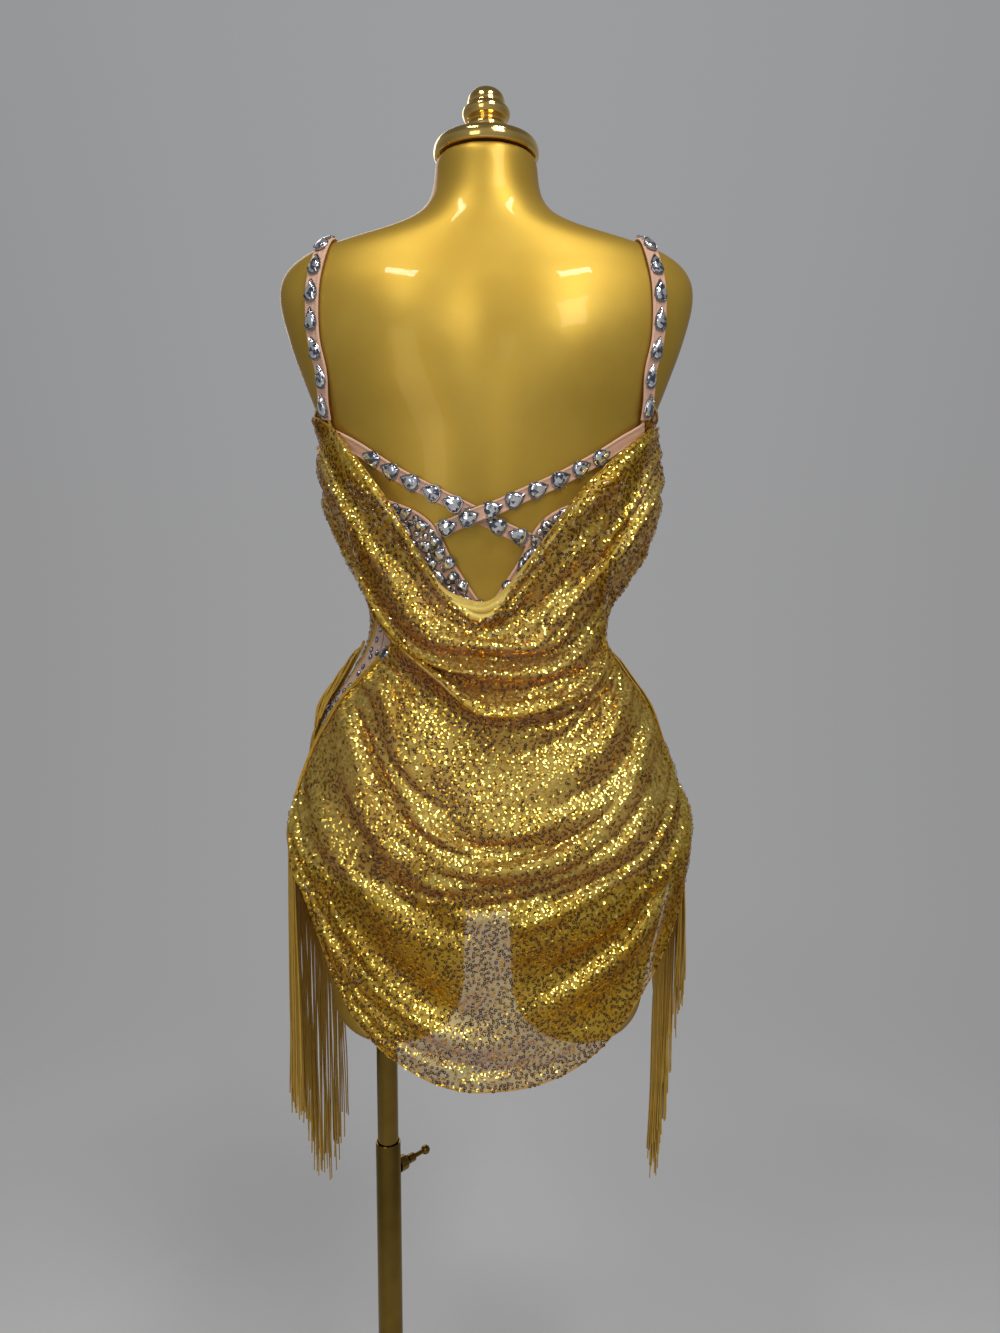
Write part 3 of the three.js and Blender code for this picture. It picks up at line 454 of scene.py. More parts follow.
class Net:
    """The node tree of one material, with its surface shader."""

    def __init__(self, name: str) -> None:
        """Start a material of this name.

        Args:
            name: Name of the material.
        """
        self.material = bpy.data.materials.new(name)
        self.material.use_nodes = True
        self.tree = self.material.node_tree
        self.shader = self.tree.nodes["Principled BSDF"]

    def node(self, kind: str, settings: dict[str, object], inputs: dict[object, object],
             output: int | str = 0) -> Value:
        """Add a node.

        Args:
            kind: The node's type.
            settings: Its properties; "stops" holds a ramp's (place, colour) pairs.
            inputs: A value or a link for each socket, by name or number.
            output: The socket to hand back.

        Returns:
            The chosen output.
        """
        node = self.tree.nodes.new(kind)
        for key, value in settings.items():
            if key == "stops":
                ramp = node.color_ramp
                while len(ramp.elements) < len(value):
                    ramp.elements.new(0.5)
                for element, (place, colour) in zip(ramp.elements, value):
                    element.position = place
                    element.color = (*colour, 1)
            else:
                setattr(node, key, value)
        for key, value in inputs.items():
            self.feed(node.inputs[key], value)
        return Value(self, node.outputs[output])

    def feed(self, socket: bpy.types.NodeSocket, value: object) -> None:
        """Link a value to a socket, or set the socket's own number or colour.

        Args:
            socket: The socket.
            value: A value of this net, a number or a colour.
        """
        if isinstance(value, Value):
            self.tree.links.new(value.socket, socket)
        elif isinstance(value, tuple) and socket.type == "RGBA":
            socket.default_value = (*value, 1)
        else:
            socket.default_value = value

    def surface(self, **inputs: object) -> bpy.types.Material:
        """Feed the surface shader, whose sockets are named with _ for a space.

        Args:
            **inputs: A number, colour or link for each socket.

        Returns:
            The finished material.
        """
        for name, value in inputs.items():
            self.feed(self.shader.inputs[name.replace("_", " ")], value)
        return self.material

    def place(self) -> Value:
        """Return the place on the piece, in metres."""
        return self.node("ShaderNodeTexCoord", {}, {}, "Object")

    def facing_up(self) -> Value:
        """Return how far the surface faces up, from -1 to 1."""
        normal = self.node("ShaderNodeTexCoord", {}, {}, "Normal")
        return self.node("ShaderNodeSeparateXYZ", {}, {0: normal}, "Z")

    def noise(self, grain: float, detail: float = 2.0,
              stretch: tuple[float, float, float] = (1, 1, 1)) -> Value:
        """Return noise from 0 to 1 whose grains are this many millimetres wide."""
        place = self.node("ShaderNodeMapping", {}, {"Vector": self.place(), "Scale": stretch})
        return self.node("ShaderNodeTexNoise", {}, {"Vector": place, "Scale": 1000 / grain, "Detail": detail})

    def threads(self, pitch: float, axis: str) -> Value:
        """Return bands from 0 to 1 across an axis, this many millimetres apart.

        Args:
            pitch: Distance between bands.
            axis: Name of the axis that they cross.

        Returns:
            The bands.
        """
        settings = {"wave_type": "BANDS", "bands_direction": axis}
        return self.node("ShaderNodeTexWave", settings,
                         {"Vector": self.place(), "Scale": 1000 / pitch / 3.18, "Distortion": 1.2})

    def mix(self, factor: Value | float, first: object, second: object) -> Value:
        """Return a mix of two colours.

        Args:
            factor: Share of the second colour.
            first: Colour at 0.
            second: Colour at 1.

        Returns:
            The mixed colour.
        """
        node = self.tree.nodes.new("ShaderNodeMix")
        node.data_type = "RGBA"
        self.feed(node.inputs[0], factor)
        self.feed(node.inputs[6], first)
        self.feed(node.inputs[7], second)
        return Value(self, node.outputs[2])

    def ramp(self, value: Value, *stops: tuple[float, tuple[float, float, float]]) -> Value:
        """Return colours through these stops."""
        return self.node("ShaderNodeValToRGB", {"stops": stops}, {0: value})

    def bump(self, height: Value, distance: float, strength: float = 1.0) -> Value:
        """Return the normal that a height map gives; the distance is in millimetres."""
        inputs = {"Height": height, "Distance": distance * METRES, "Strength": strength}
        return self.node("ShaderNodeBump", {}, inputs)


class SkyNet(Net):
    """The sky's nodes, added as a material's are."""

    def __init__(self, world: bpy.types.World) -> None:
        """Use the nodes of a world."""
        self.tree = world.node_tree
        self.shader = self.tree.nodes["Background"]


Colour = tuple[float, float, float]


@dataclass(frozen=True)
class Lacquer:
    """Metallic paint under a clear glossy coat."""

    name: str = "form_gold_lacquer"
    light: Colour = (0.60, 0.41, 0.075)
    deep: Colour = (0.46, 0.27, 0.03)
    edge: Colour = (0.30, 0.16, 0.01)
    flake: float = 0.35
    cloud: float = 60.0

    def material(self) -> bpy.types.Material:
        """Return the paint with fine flake and slow clouding.

        Returns:
            The paint.
        """
        net = Net(self.name)
        flakes = net.noise(self.flake, 1)
        clouds = net.noise(self.cloud, 3)
        colour = net.mix(clouds, self.deep, self.light)
        colour = net.mix(flakes * 0.35, colour, self.light)
        return net.surface(Base_Color=colour, Metallic=0.62, Roughness=flakes * 0.1 + 0.40,
                           Specular_Tint=self.edge, Specular_IOR_Level=0.1, Coat_Weight=0.25, Coat_IOR=1.38,
                           Coat_Roughness=0.02,
                           Normal=net.bump(flakes, 0.02, 0.3))


@dataclass(frozen=True)
class Metal:
    """Turned metal with fine scratches."""

    name: str
    colour: Colour
    worn: Colour
    roughness: float
    scratch: float = 0.6
    axis: str = "Z"

    def material(self) -> bpy.types.Material:
        """Return the metal, duller and darker in cloudy patches.

        Returns:
            The metal.
        """
        net = Net(self.name)
        clouds = net.noise(18, 4)
        stretch = (1, 1, 12) if self.axis == "Z" else (1, 1, 1)
        scratches = net.noise(self.scratch, 2, stretch)
        colour = net.mix(clouds, self.colour, self.worn)
        return net.surface(Base_Color=colour, Metallic=1.0, Roughness=scratches * 0.1 + clouds * 0.06
                           + self.roughness,
                           Normal=net.bump(scratches, 0.01, 0.4))


@dataclass(frozen=True)
class SheerCloth:
    """Net ground cloth that lets some light through."""

    name: str
    # top, side and under are painted light: the lit tone where the cloth faces up, the half-shaded tone where
    # it stands upright and the painted shade where it faces down.
    top: Colour
    side: Colour
    under: Colour
    cover: float
    metallic: float = 0.25
    weave: float = 1.1

    def material(self) -> bpy.types.Material:
        """Return the cloth with painted light and shade: paler where it faces up and deeper in painted shade
        underneath, with an open weave.

        Returns:
            The cloth.
        """
        net = Net(self.name)
        up = net.facing_up() * 0.5 + 0.5
        clouds = net.noise(45, 3)
        # Painted light and shade by which way the cloth faces, mixed with random clouding.
        shade = up + clouds * 0.8 - 0.40
        colour = net.ramp(shade, (0.22, self.under), (0.48, self.side), (0.72, self.top))
        fibre = net.noise(self.weave, 2)
        colour = net.mix(fibre * 0.5, colour, self.top)
        mesh = net.threads(self.weave, "X") * net.threads(self.weave, "Z")
        alpha = (mesh * 0.22 + fibre * 0.2 + (self.cover - 0.2)).clamped()
        return net.surface(Base_Color=colour, Metallic=self.metallic, Roughness=fibre * 0.2 + 0.38,
                           Alpha=alpha,
                           Specular_IOR_Level=0.15, Normal=net.bump(fibre, 0.3, 0.9))


@dataclass(frozen=True)
class SequinFoil:
    """Thin metallic foil of the ring sequins."""

    name: str = "sequin_foil"
    # bright is painted light where sequins face up; dark is a painted reflection of dark surroundings where
    # they stand upright, spread further by random patches; gold is their own colour, also shown where they
    # face down. The last field is the height below which the sequins get painted shade.
    bright: Colour = (1.0, 0.82, 0.20)
    gold: Colour = (0.88, 0.46, 0.025)
    dark: Colour = (0.085, 0.045, 0.04)
    rim: Colour = (0.80, 0.45, 0.12)
    painted_shade_below: float = 0.84

    def material(self) -> bpy.types.Material:
        """Return foil painted dark where it stands upright, as a painted reflection of dark surroundings,
        golden where it is tipped and bright where it faces up, as painted light, with painted shade low on
        the skirt.

        Returns:
            The foil.
        """
        net = Net(self.name)
        painted_light_facing = net.facing_up()
        patches = net.noise(34, 2)
        each = net.noise(3.2, 0)
        height = net.node("ShaderNodeSeparateXYZ", {}, {0: net.place()}, "Z")
        # Painted shade on the sequins below a height, where the skirt hangs in shadow.
        skirt = ((self.painted_shade_below - height) * 12).clamped()
        # Painted light and reflection by which way each sequin faces, mixed with random patches and
        # per-sequin variation.
        shade = painted_light_facing * 0.5 + patches * 0.9 + each * 0.9 - skirt * 0.14 - 0.40
        colour = net.ramp(shade, (0.14, self.gold), (0.29, self.dark), (0.50, self.dark),
                          (0.59, self.gold), (0.78, self.bright))
        return net.surface(Base_Color=colour, Metallic=1.0, Roughness=each * 0.16 + 0.10,
                           Specular_Tint=self.rim)


@dataclass(frozen=True)
class Fabric:
    """Close knitted or woven cloth."""

    name: str
    colour: Colour
    deep: Colour
    rib: float = 0.9
    depth: float = 0.12
    roughness: float = 0.68
    sheen: float = 0.25
    axis: str = "DIAGONAL"

    def material(self) -> bpy.types.Material:
        """Return the cloth with its ribs and a little unevenness.

        Returns:
            The cloth.
        """
        net = Net(self.name)
        ribs = net.threads(self.rib, self.axis)
        clouds = net.noise(14, 3)
        colour = net.mix((ribs * 0.5 + clouds * 0.5).clamped(), self.deep, self.colour)
        return net.surface(Base_Color=colour, Roughness=ribs * 0.1 + (self.roughness - 0.05),
                           Normal=net.bump(ribs + clouds * 0.5, self.depth), Sheen_Weight=self.sheen)


@dataclass(frozen=True)
class Crystal:
    """Foil-backed cut glass."""

    name: str = "crystal_glass"
    pale: Colour = (0.92, 0.95, 1.0)
    grey: Colour = (0.12, 0.13, 0.17)

    def material(self) -> bpy.types.Material:
        """Return bright glass with painted reflections: random cells of its facets are painted dark or
        bright.

        Returns:
            The glass.
        """
        net = Net(self.name)
        # Painted reflections: Voronoi cells paint each facet dark grey or pale.
        facets = net.node("ShaderNodeTexVoronoi", {}, {"Vector": net.place(), "Scale": 340.0}, "Color")
        depth = net.node("ShaderNodeSeparateColor", {}, {0: facets}, 0)
        colour = net.ramp(depth, (0.30, self.grey), (0.46, self.pale), (0.8, self.pale))
        return net.surface(Base_Color=colour, Metallic=0.9, Roughness=depth * 0.06 + 0.03, Coat_Weight=1.0,
                           Coat_Roughness=0.01)


@dataclass(frozen=True)
class Plain:
    """Matt surface of the studio floor, which ends softly a few paces from the stand."""

    name: str = "studio_floor"
    colour: Colour = (0.74, 0.74, 0.75)
    full_radius: float = 0.7
    end_radius: float = 2.4

    def material(self) -> bpy.types.Material:
        """Return the floor with a faint mottle.

        Returns:
            The floor.
        """
        net = Net(self.name)
        clouds = net.noise(300, 3)
        shade = net.mix(clouds, tuple(0.97 * c for c in self.colour), self.colour)
        radius = net.node("ShaderNodeVectorMath", {"operation": "LENGTH"}, {0: net.place()}, "Value")
        fade = ((self.end_radius - radius) * (1 / (self.end_radius - self.full_radius))).clamped()
        return net.surface(Base_Color=shade, Roughness=0.6, Alpha=fade * fade)


# Dress form

@dataclass(frozen=True)
class Section:
    """Horizontal section of the torso; square is 2 for an ellipse and more for a boxier one."""

    z: float
    half: float
    back: float
    front: float
    square: float = 2.0


@dataclass(frozen=True)
class StumpSection:
    """Horizontal section of the left thigh stump."""

    z: float
    x: float
    half: float
    back: float
    front: float


@dataclass
class DressForm:
    """Limbless torso with two thigh stumps, a closed neck and no arms."""

    sections: tuple[Section, ...] = (
        Section(795, 179, 98, 91, 2.6), Section(816, 184.5, 112, 96, 2.5), Section(840, 186, 120, 99, 2.4),
        Section(866, 183, 121, 100, 2.3), Section(893, 174, 115, 97, 2.2), Section(925, 161, 102, 94, 2.1),
        Section(960, 147, 87, 88), Section(995, 124, 75, 79), Section(1030, 108.5, 68, 73),
        Section(1070, 110.5, 71, 78), Section(1115, 123, 79, 98), Section(1150, 133, 84, 118),
        Section(1185, 142, 88, 126), Section(1220, 152, 90, 119, 2.1), Section(1254, 165, 90, 105, 2.2),
        Section(1298, 181, 86, 88, 2.2), Section(1337, 189.8, 76, 72, 2.1), Section(1360, 183.5, 67, 62),
        Section(1376, 162, 61, 56), Section(1386, 130, 58, 53), Section(1394, 98, 56, 51),
        Section(1406, 68, 53, 49), Section(1421, 53, 50, 47), Section(1440, 47.5, 47.5, 46.5),
        Section(NECK_TOP, 46.5, 46.5, 46.5))
    stumps: tuple[StumpSection, ...] = (
        StumpSection(645, 88, 36, 42, 38), StumpSection(648, 88, 47, 56, 50),
        StumpSection(658, 88, 57, 70, 62),
        StumpSection(672, 88, 63, 80, 71), StumpSection(695, 89, 65.5, 84, 74),
        StumpSection(730, 92, 70, 86, 77),
        StumpSection(765, 95, 75, 88, 79), StumpSection(797, 96, 78, 88, 80),
        StumpSection(835, 92, 70, 80, 70))
    voxel: float = 3.6
    socket_radius: float = 11.2
    socket_top: float = 742.0
    spine_depth: float = 5.0
    blade_rise: float = 3.5

    def __post_init__(self) -> None:
        """Make a curve of each size by height."""
        heights = [s.z for s in self.sections]
        self.half = Track(heights, [s.half for s in self.sections])
        self.back = Track(heights, [s.back for s in self.sections])
        self.front = Track(heights, [s.front for s in self.sections])
        self.square = Track(heights, [s.square for s in self.sections])

    def skin(self, degrees: Array, z: Array) -> Array:
        """Return points of the skin.

        Args:
            degrees: Angles from the centre back, towards the wearer's left.
            z: Heights.

        Returns:
            The points.
        """
        degrees, z = np.broadcast_arrays(np.asarray(degrees, float), np.asarray(z, float))
        sine = np.sin(np.radians(degrees))
        cosine = np.cos(np.radians(degrees))
        depth = np.where(cosine > 0, self.back(z), self.front(z))
        power = 2 / self.square(z)
        x = self.half(z) * np.sign(sine) * np.abs(sine) ** power
        y = depth * np.sign(cosine) * np.abs(cosine) ** power
        return np.stack([x, y, z], axis=-1)

    def normals(self, degrees: Array, z: Array) -> Array:
        """Return the outward directions of the skin at these angles and heights.

        Args:
            degrees: Angles from the centre back.
            z: Heights.

        Returns:
            Unit directions, one a place.
        """
        degrees, z = np.broadcast_arrays(np.asarray(degrees, float), np.asarray(z, float))
        around = self.skin(degrees + 0.5, z) - self.skin(degrees - 0.5, z)
        high = np.minimum(z + 1, NECK_TOP)
        up = self.skin(degrees, high) - self.skin(degrees, high - 2)
        normals = unit(np.cross(up, around))
        flat = self.skin(degrees, z) * (1, 1, 0)
        return normals * np.where(np.sum(normals * flat, axis=-1, keepdims=True) < 0, -1, 1)

    def lifted(self, degrees: Array, z: Array, lift: Array | float) -> Array:
        """Return the same points moved straight out from the skin."""
        lift = np.asarray(lift, float)[..., None]
        return self.skin(degrees, z) + self.normals(degrees, z) * lift

    def degrees_at(self, x: Array, z: Array, side: int) -> Array:
        """Return the angles at which the skin has this x; side is 1 behind and -1 in front.

        Args:
            x: Distances to the side.
            z: Heights.
            side: 1 behind and -1 in front.

        Returns:
            Angles from the centre back.
        """
        share = np.minimum(np.abs(x) / self.half(z), 1)
        turn = np.sign(x) * np.degrees(np.arcsin(share ** (self.square(z) / 2)))
        return np.where(np.asarray(side) > 0, turn, 180 - turn)

    def pushed_clear(self, points: Array, clearance: float) -> Array:
        """Return the points moved out of the form, by this clearance.

        Args:
            points: Points, n x 3.
            clearance: Least distance from the skin.

        Returns:
            The points, moved where they were inside.
        """
        x, y, z = np.moveaxis(points, -1, 0)
        half = self.half(z) + clearance
        depth = np.where(y > 0, self.back(z), self.front(z)) + clearance
        square = self.square(z)
        share = (np.abs(x / half) ** square + np.abs(y / depth) ** square) ** (1 / square)
        inside = (share < 1) & (z >= FORM_BOTTOM)
        scale = np.where(inside, 1 / np.maximum(share, 1e-6), 1.0)
        return np.stack([x * scale, y * scale, z], axis=-1)

    def reach(self, y: Array, z: Array) -> Array:
        """Return how far the skin goes to the side at this depth and height.

        Args:
            y: Depths.
            z: Heights.

        Returns:
            Distances from the middle to the skin.
        """
        high = np.maximum(z, FORM_BOTTOM)
        square = self.square(high)
        depth = np.where(y > 0, self.back(high), self.front(high))
        return self.half(high) * np.maximum(1 - np.abs(y / depth) ** square, 0) ** (1 / square)

    def relief(self, points: Array) -> Array:
        """Return how far the bare back is modelled out or in: spine, blades and shoulders.

        Args:
            points: Points of the skin, rows x columns x 3.

        Returns:
            Distances, outward where positive.
        """
        x, y, z = np.moveaxis(points, -1, 0)
        behind = ease(y / 40) * ease((z - 1030) / 60) * ease((1420 - z) / 60)
        spine = -self.spine_depth * np.exp(-(x / 26) ** 2) * ease((1400 - z) / 120)
        blades = self.blade_rise * np.exp(-((np.abs(x) - 72) / 34) ** 2 - ((z - 1292) / 48) ** 2)
        below = -2.5 * np.exp(-((np.abs(x) - 62) / 40) ** 2 - ((z - 1205) / 36) ** 2)
        return behind * (spine + blades + below)

    def torso(self) -> Shape:
        """Return the torso as a closed loft.

        Returns:
            The loft.
        """
        z = np.unique(np.concatenate([np.arange(FORM_BOTTOM, NECK_TOP, 5), [NECK_TOP]]))
        degrees = np.linspace(0, 360, 144, endpoint=False)
        grid = self.skin(degrees[None], z[:, None])
        grid += self.normals(degrees[None], z[:, None]) * self.relief(grid)[..., None]
        return self.capped(grid)

    def stump(self, side: int) -> Shape:
        """Return one thigh stump as a closed loft; side is 1 on the wearer's left.

        Args:
            side: 1 on the wearer's left and -1 on the right.

        Returns:
            The loft.
        """
        heights = [s.z for s in self.stumps]
        sizes = Track(heights, [(s.x, s.half, s.back, s.front) for s in self.stumps])
        z = np.concatenate([np.linspace(645, 660, 7), np.arange(664, 836, 5.0)])
        x, half, back, front = np.moveaxis(sizes(z), -1, 0)
        turn = np.linspace(0, 2 * math.pi, 96, endpoint=False)[None]
        depth = np.where(np.cos(turn) > 0, back[:, None], front[:, None])
        points = [side * x[:, None] + half[:, None] * np.sin(turn), depth * np.cos(turn), z[:, None]
                  + 0 * turn]
        return self.capped(np.stack(points, -1))

    @staticmethod
    def capped(rings: Array) -> Shape:
        """Return rings of points as a closed loft with flat ends.

        Args:
            rings: Rings of points, rings x points x 3.

        Returns:
            The loft.
        """
        shape = surface(rings, closed=True)
        count = rings.shape[1]
        last = (len(rings) - 1) * count
        bottom = np.arange(count)[None]
        return Shape(shape.points, [*shape.faces, bottom, bottom[:, ::-1] + last])

    def relaxed(self, mesh: bpy.types.Mesh) -> None:
        """Round off a remeshed form: a little everywhere, and more where the thighs join the hips.

        Args:
            mesh: The remeshed form, which is changed.
        """
        count = len(mesh.vertices)
        points = np.empty(count * 3)
        mesh.vertices.foreach_get("co", points)
        points = points.reshape(-1, 3)
        edges = np.empty(len(mesh.edges) * 2, dtype=np.int32)
        mesh.edges.foreach_get("vertices", edges)
        a, b = edges.reshape(-1, 2).T
        ends = np.concatenate([a, b])
        others = np.concatenate([b, a])
        degree = np.maximum(np.bincount(ends, minlength=count), 1)
        x, _, z = points.T / METRES
        low = ease(1 - np.abs(z - 797) / 34) * ease((np.abs(x) - 26) / 30)
        for passes, weight in ((8, 0.5), (90, 0.5 * low)):
            weight = np.broadcast_to(weight, count)[:, None]
            for _ in range(passes):
                sums = [np.bincount(ends, weights=points[others, k], minlength=count) for k in range(3)]
                points = points + weight * (np.stack(sums, -1) / degree[:, None] - points)
        mesh.vertices.foreach_set("co", points.ravel())
        mesh.update()

    def build(self, finish: bpy.types.Material) -> bpy.types.Object:
        """Return the whole form as one smooth skin with the pole's socket.

        Args:
            finish: Its paint.

        Returns:
            The form.
        """
        lofts = Shape.joined([self.torso(), self.stump(1), self.stump(-1)])
        form = mesh_piece("dress_form", lofts, finish)
        remesh = form.modifiers.new("skin", "REMESH")
        remesh.mode = "VOXEL"
        remesh.voxel_size = self.voxel * METRES
        with_modifiers(form)
        self.relaxed(form.data)
        self.bore(form)
        form.data.shade_smooth()
        form.data.set_sharp_from_angle(angle=math.radians(50))
        return dress(form, "dressed_form", "form_paint", "form_torso")

    def bore(self, form: bpy.types.Object) -> None:
        """Cut the pole's blind socket into the left stump.

        Args:
            form: The form, which is changed.
        """
        low = self.socket_top - 142
        profile = [(0, low), (self.socket_radius, low), (self.socket_radius, self.socket_top),
                   (0, self.socket_top)]
        shape = turned(profile, 48)
        cutter = mesh_piece("socket_cutter", Shape(shape.points + (POLE_X, 0, 0), shape.faces),
                            form.data.materials[0])
        cut = form.modifiers.new("socket", "BOOLEAN")
        cut.operation = "DIFFERENCE"
        cut.object = cutter
        with_modifiers(form)
        bpy.data.objects.remove(cutter)


# Stand

@dataclass
class Stand:
    """Round base, telescopic pole, clamp screw and the turned cap and finial of the neck."""

    base_radius: float = 190.0
    base_thickness: float = 7.0
    inner_radius: float = 10.5
    outer_radius: float = 12.5
    outer_bore: float = 11.3
    outer_top: float = 515.0
    screw_radius: float = 2.3

    def piece(self, name: str, profile: Sequence[tuple[float, float]], x: float, finish: bpy.types.Material,
              body: str, slot: str) -> bpy.types.Object:
        """Make a turned piece in the place of its CAD node.

        Args:
            name: The node's name.
            profile: Radius and height pairs.
            x: Where its axis stands.
            finish: Its metal.
            body: The body it rides on.
            slot: Not used; dress, which it is handed to, ignores it.

        Returns:
            The piece.
        """
        shape = turned(profile)
        piece = mesh_piece(f"{name}_metal", Shape(shape.points + (x, 0, 0), shape.faces), finish, 32)
        return dress(piece, body, slot, name)

    def crosswise(self, name: str, profile: Sequence[tuple[float, float]], finish: bpy.types.Material,
                  body: str, slot: str) -> bpy.types.Object:
        """Make a turned piece whose axis lies along the clamp screw, in the place of its CAD node.

        Args:
            name: Name of the piece.
            profile: Its (radius, height) points.
            finish: Finish of the piece.
            body: Name of its body.
            slot: Not used; dress, which it is handed to, ignores it.

        Returns:
            The piece.
        """
        shape = turned(profile, 48)
        along = np.array([math.cos(SCREW_HEADING), math.sin(SCREW_HEADING), 0])
        across = np.array([-math.sin(SCREW_HEADING), math.cos(SCREW_HEADING), 0])
        x, y, z = shape.points.T
        points = x[:, None] * (0, 0, 1) + y[:, None] * across + z[:, None] * along + (POLE_X, 0, SCREW_HEIGHT)
        piece = mesh_piece(f"{name}_metal", Shape(points, shape.faces), finish, 32)
        return dress(piece, body, slot, name)

    def build(self, brass: bpy.types.Material, pole: bpy.types.Material) -> None:
        """Make every metal piece.

        Args:
            brass: Polished metal of the cap and finial.
            pole: Satin metal of the stand.
        """
        base = self.base_radius
        deck = self.base_thickness
        rim = rounded([(base - 3, deck), (base - 1, deck - 1), (base, deck - 3)], 0.5)
        self.piece("base_plate", [(0, 0), (base - 1.5, 0), (base, 1.5), *rim[::-1], (0, deck)], 0, pole,
                   "stand", "stand_metal")
        seat = self.outer_radius + SEAM_GAP
        step = rounded([(31, 11), (29, 13), (24, 14), (19, 15), (17.4, 19), (17, 24)], 0.8)
        self.piece("base_flange", [(seat, deck), (31, deck), *step, (seat, 24), (seat, deck)], POLE_X, pole,
                   "stand", "stand_metal")
        low = deck + SEAM_GAP
        lip = [(self.outer_radius, self.outer_top - 0.8), (self.outer_radius - 0.4, self.outer_top)]
        self.piece("outer_tube", [(self.outer_bore, low), (self.outer_radius, low), *lip,
                                  (self.outer_bore, self.outer_top), (self.outer_bore, low)],
                   POLE_X, pole, "stand", "stand_metal")
        self.piece("inner_tube", [(0, 130), (self.inner_radius, 130), (self.inner_radius, 742), (0, 742)],
                   POLE_X, pole, "mast", "stand_metal")
        hole = self.screw_radius + 0.5
        self.crosswise("clamp_boss",
                       [(hole, 12.6), (7.5, 12.6), (7.5, 21), (6.5, 22.5), (hole, 22.5), (hole, 12.6)],
                       pole, "stand", "screw_metal")
        self.crosswise("clamp_screw", self.screw_profile(), pole, "clamp", "screw_metal")
        cap = rounded([(45.5, 0), (47.2, 1.5), (47.8, 5), (47.2, 9), (45, 12.5), (41, 14)], 0.8)
        cap = [(r, NECK_TOP + z) for r, z in cap]
        self.piece("neck_cap", [(0, NECK_TOP), *cap, (0, NECK_TOP + 14.5)], 0, brass, "dressed_form",
                   "cap_metal")
        ball = rounded([(24, 1474.8), (25, 1476.5), (23.5, 1479), (20.5, 1482), (20, 1487), (17, 1489.5),
                        (16.5, 1492), (19.5, 1494), (21.5, 1498), (21, 1502), (17.5, 1505.5), (17, 1509),
                        (15.5, 1514), (12, 1518), (7, 1520.5), (0, 1521.5)], 0.8)
        self.piece("finial", [(0, 1474.8), *ball], 0, brass, "dressed_form", "cap_metal")

    def screw_profile(self) -> list[tuple[float, float]]:
        """Return the clamp screw: tip, threads, collar, shank and ball.

        Returns:
            Its (radius, height) points from the tip.
        """
        radius = self.screw_radius
        start = self.inner_radius + SEAM_GAP
        threads = []
        for turn in np.arange(start + 0.4, 24.4, 0.8):
            threads += [(radius, turn), (radius - 0.3, turn + 0.4)]
        collar = [(radius, 25), (4.4, 25.5), (4.4, 33), (3.6, 34), (radius, 34.5), (radius, 45)]
        ball = rounded([(radius, 45), (3.9, 46.2), (4.6, 48.6), (4.4, 50.8), (3.1, 52.6), (0, 53.4)], 0.4)
        return [(0, start), (radius - 0.4, start), *threads, *collar, *ball[1:]]


# Drape

@dataclass(frozen=True)
class Fold:
    """One crest, valley or turn of the drape: heights across the back, depth and end angles."""

    name: str
    z: tuple[float, ...]
    out: float
    right: float
    left: float


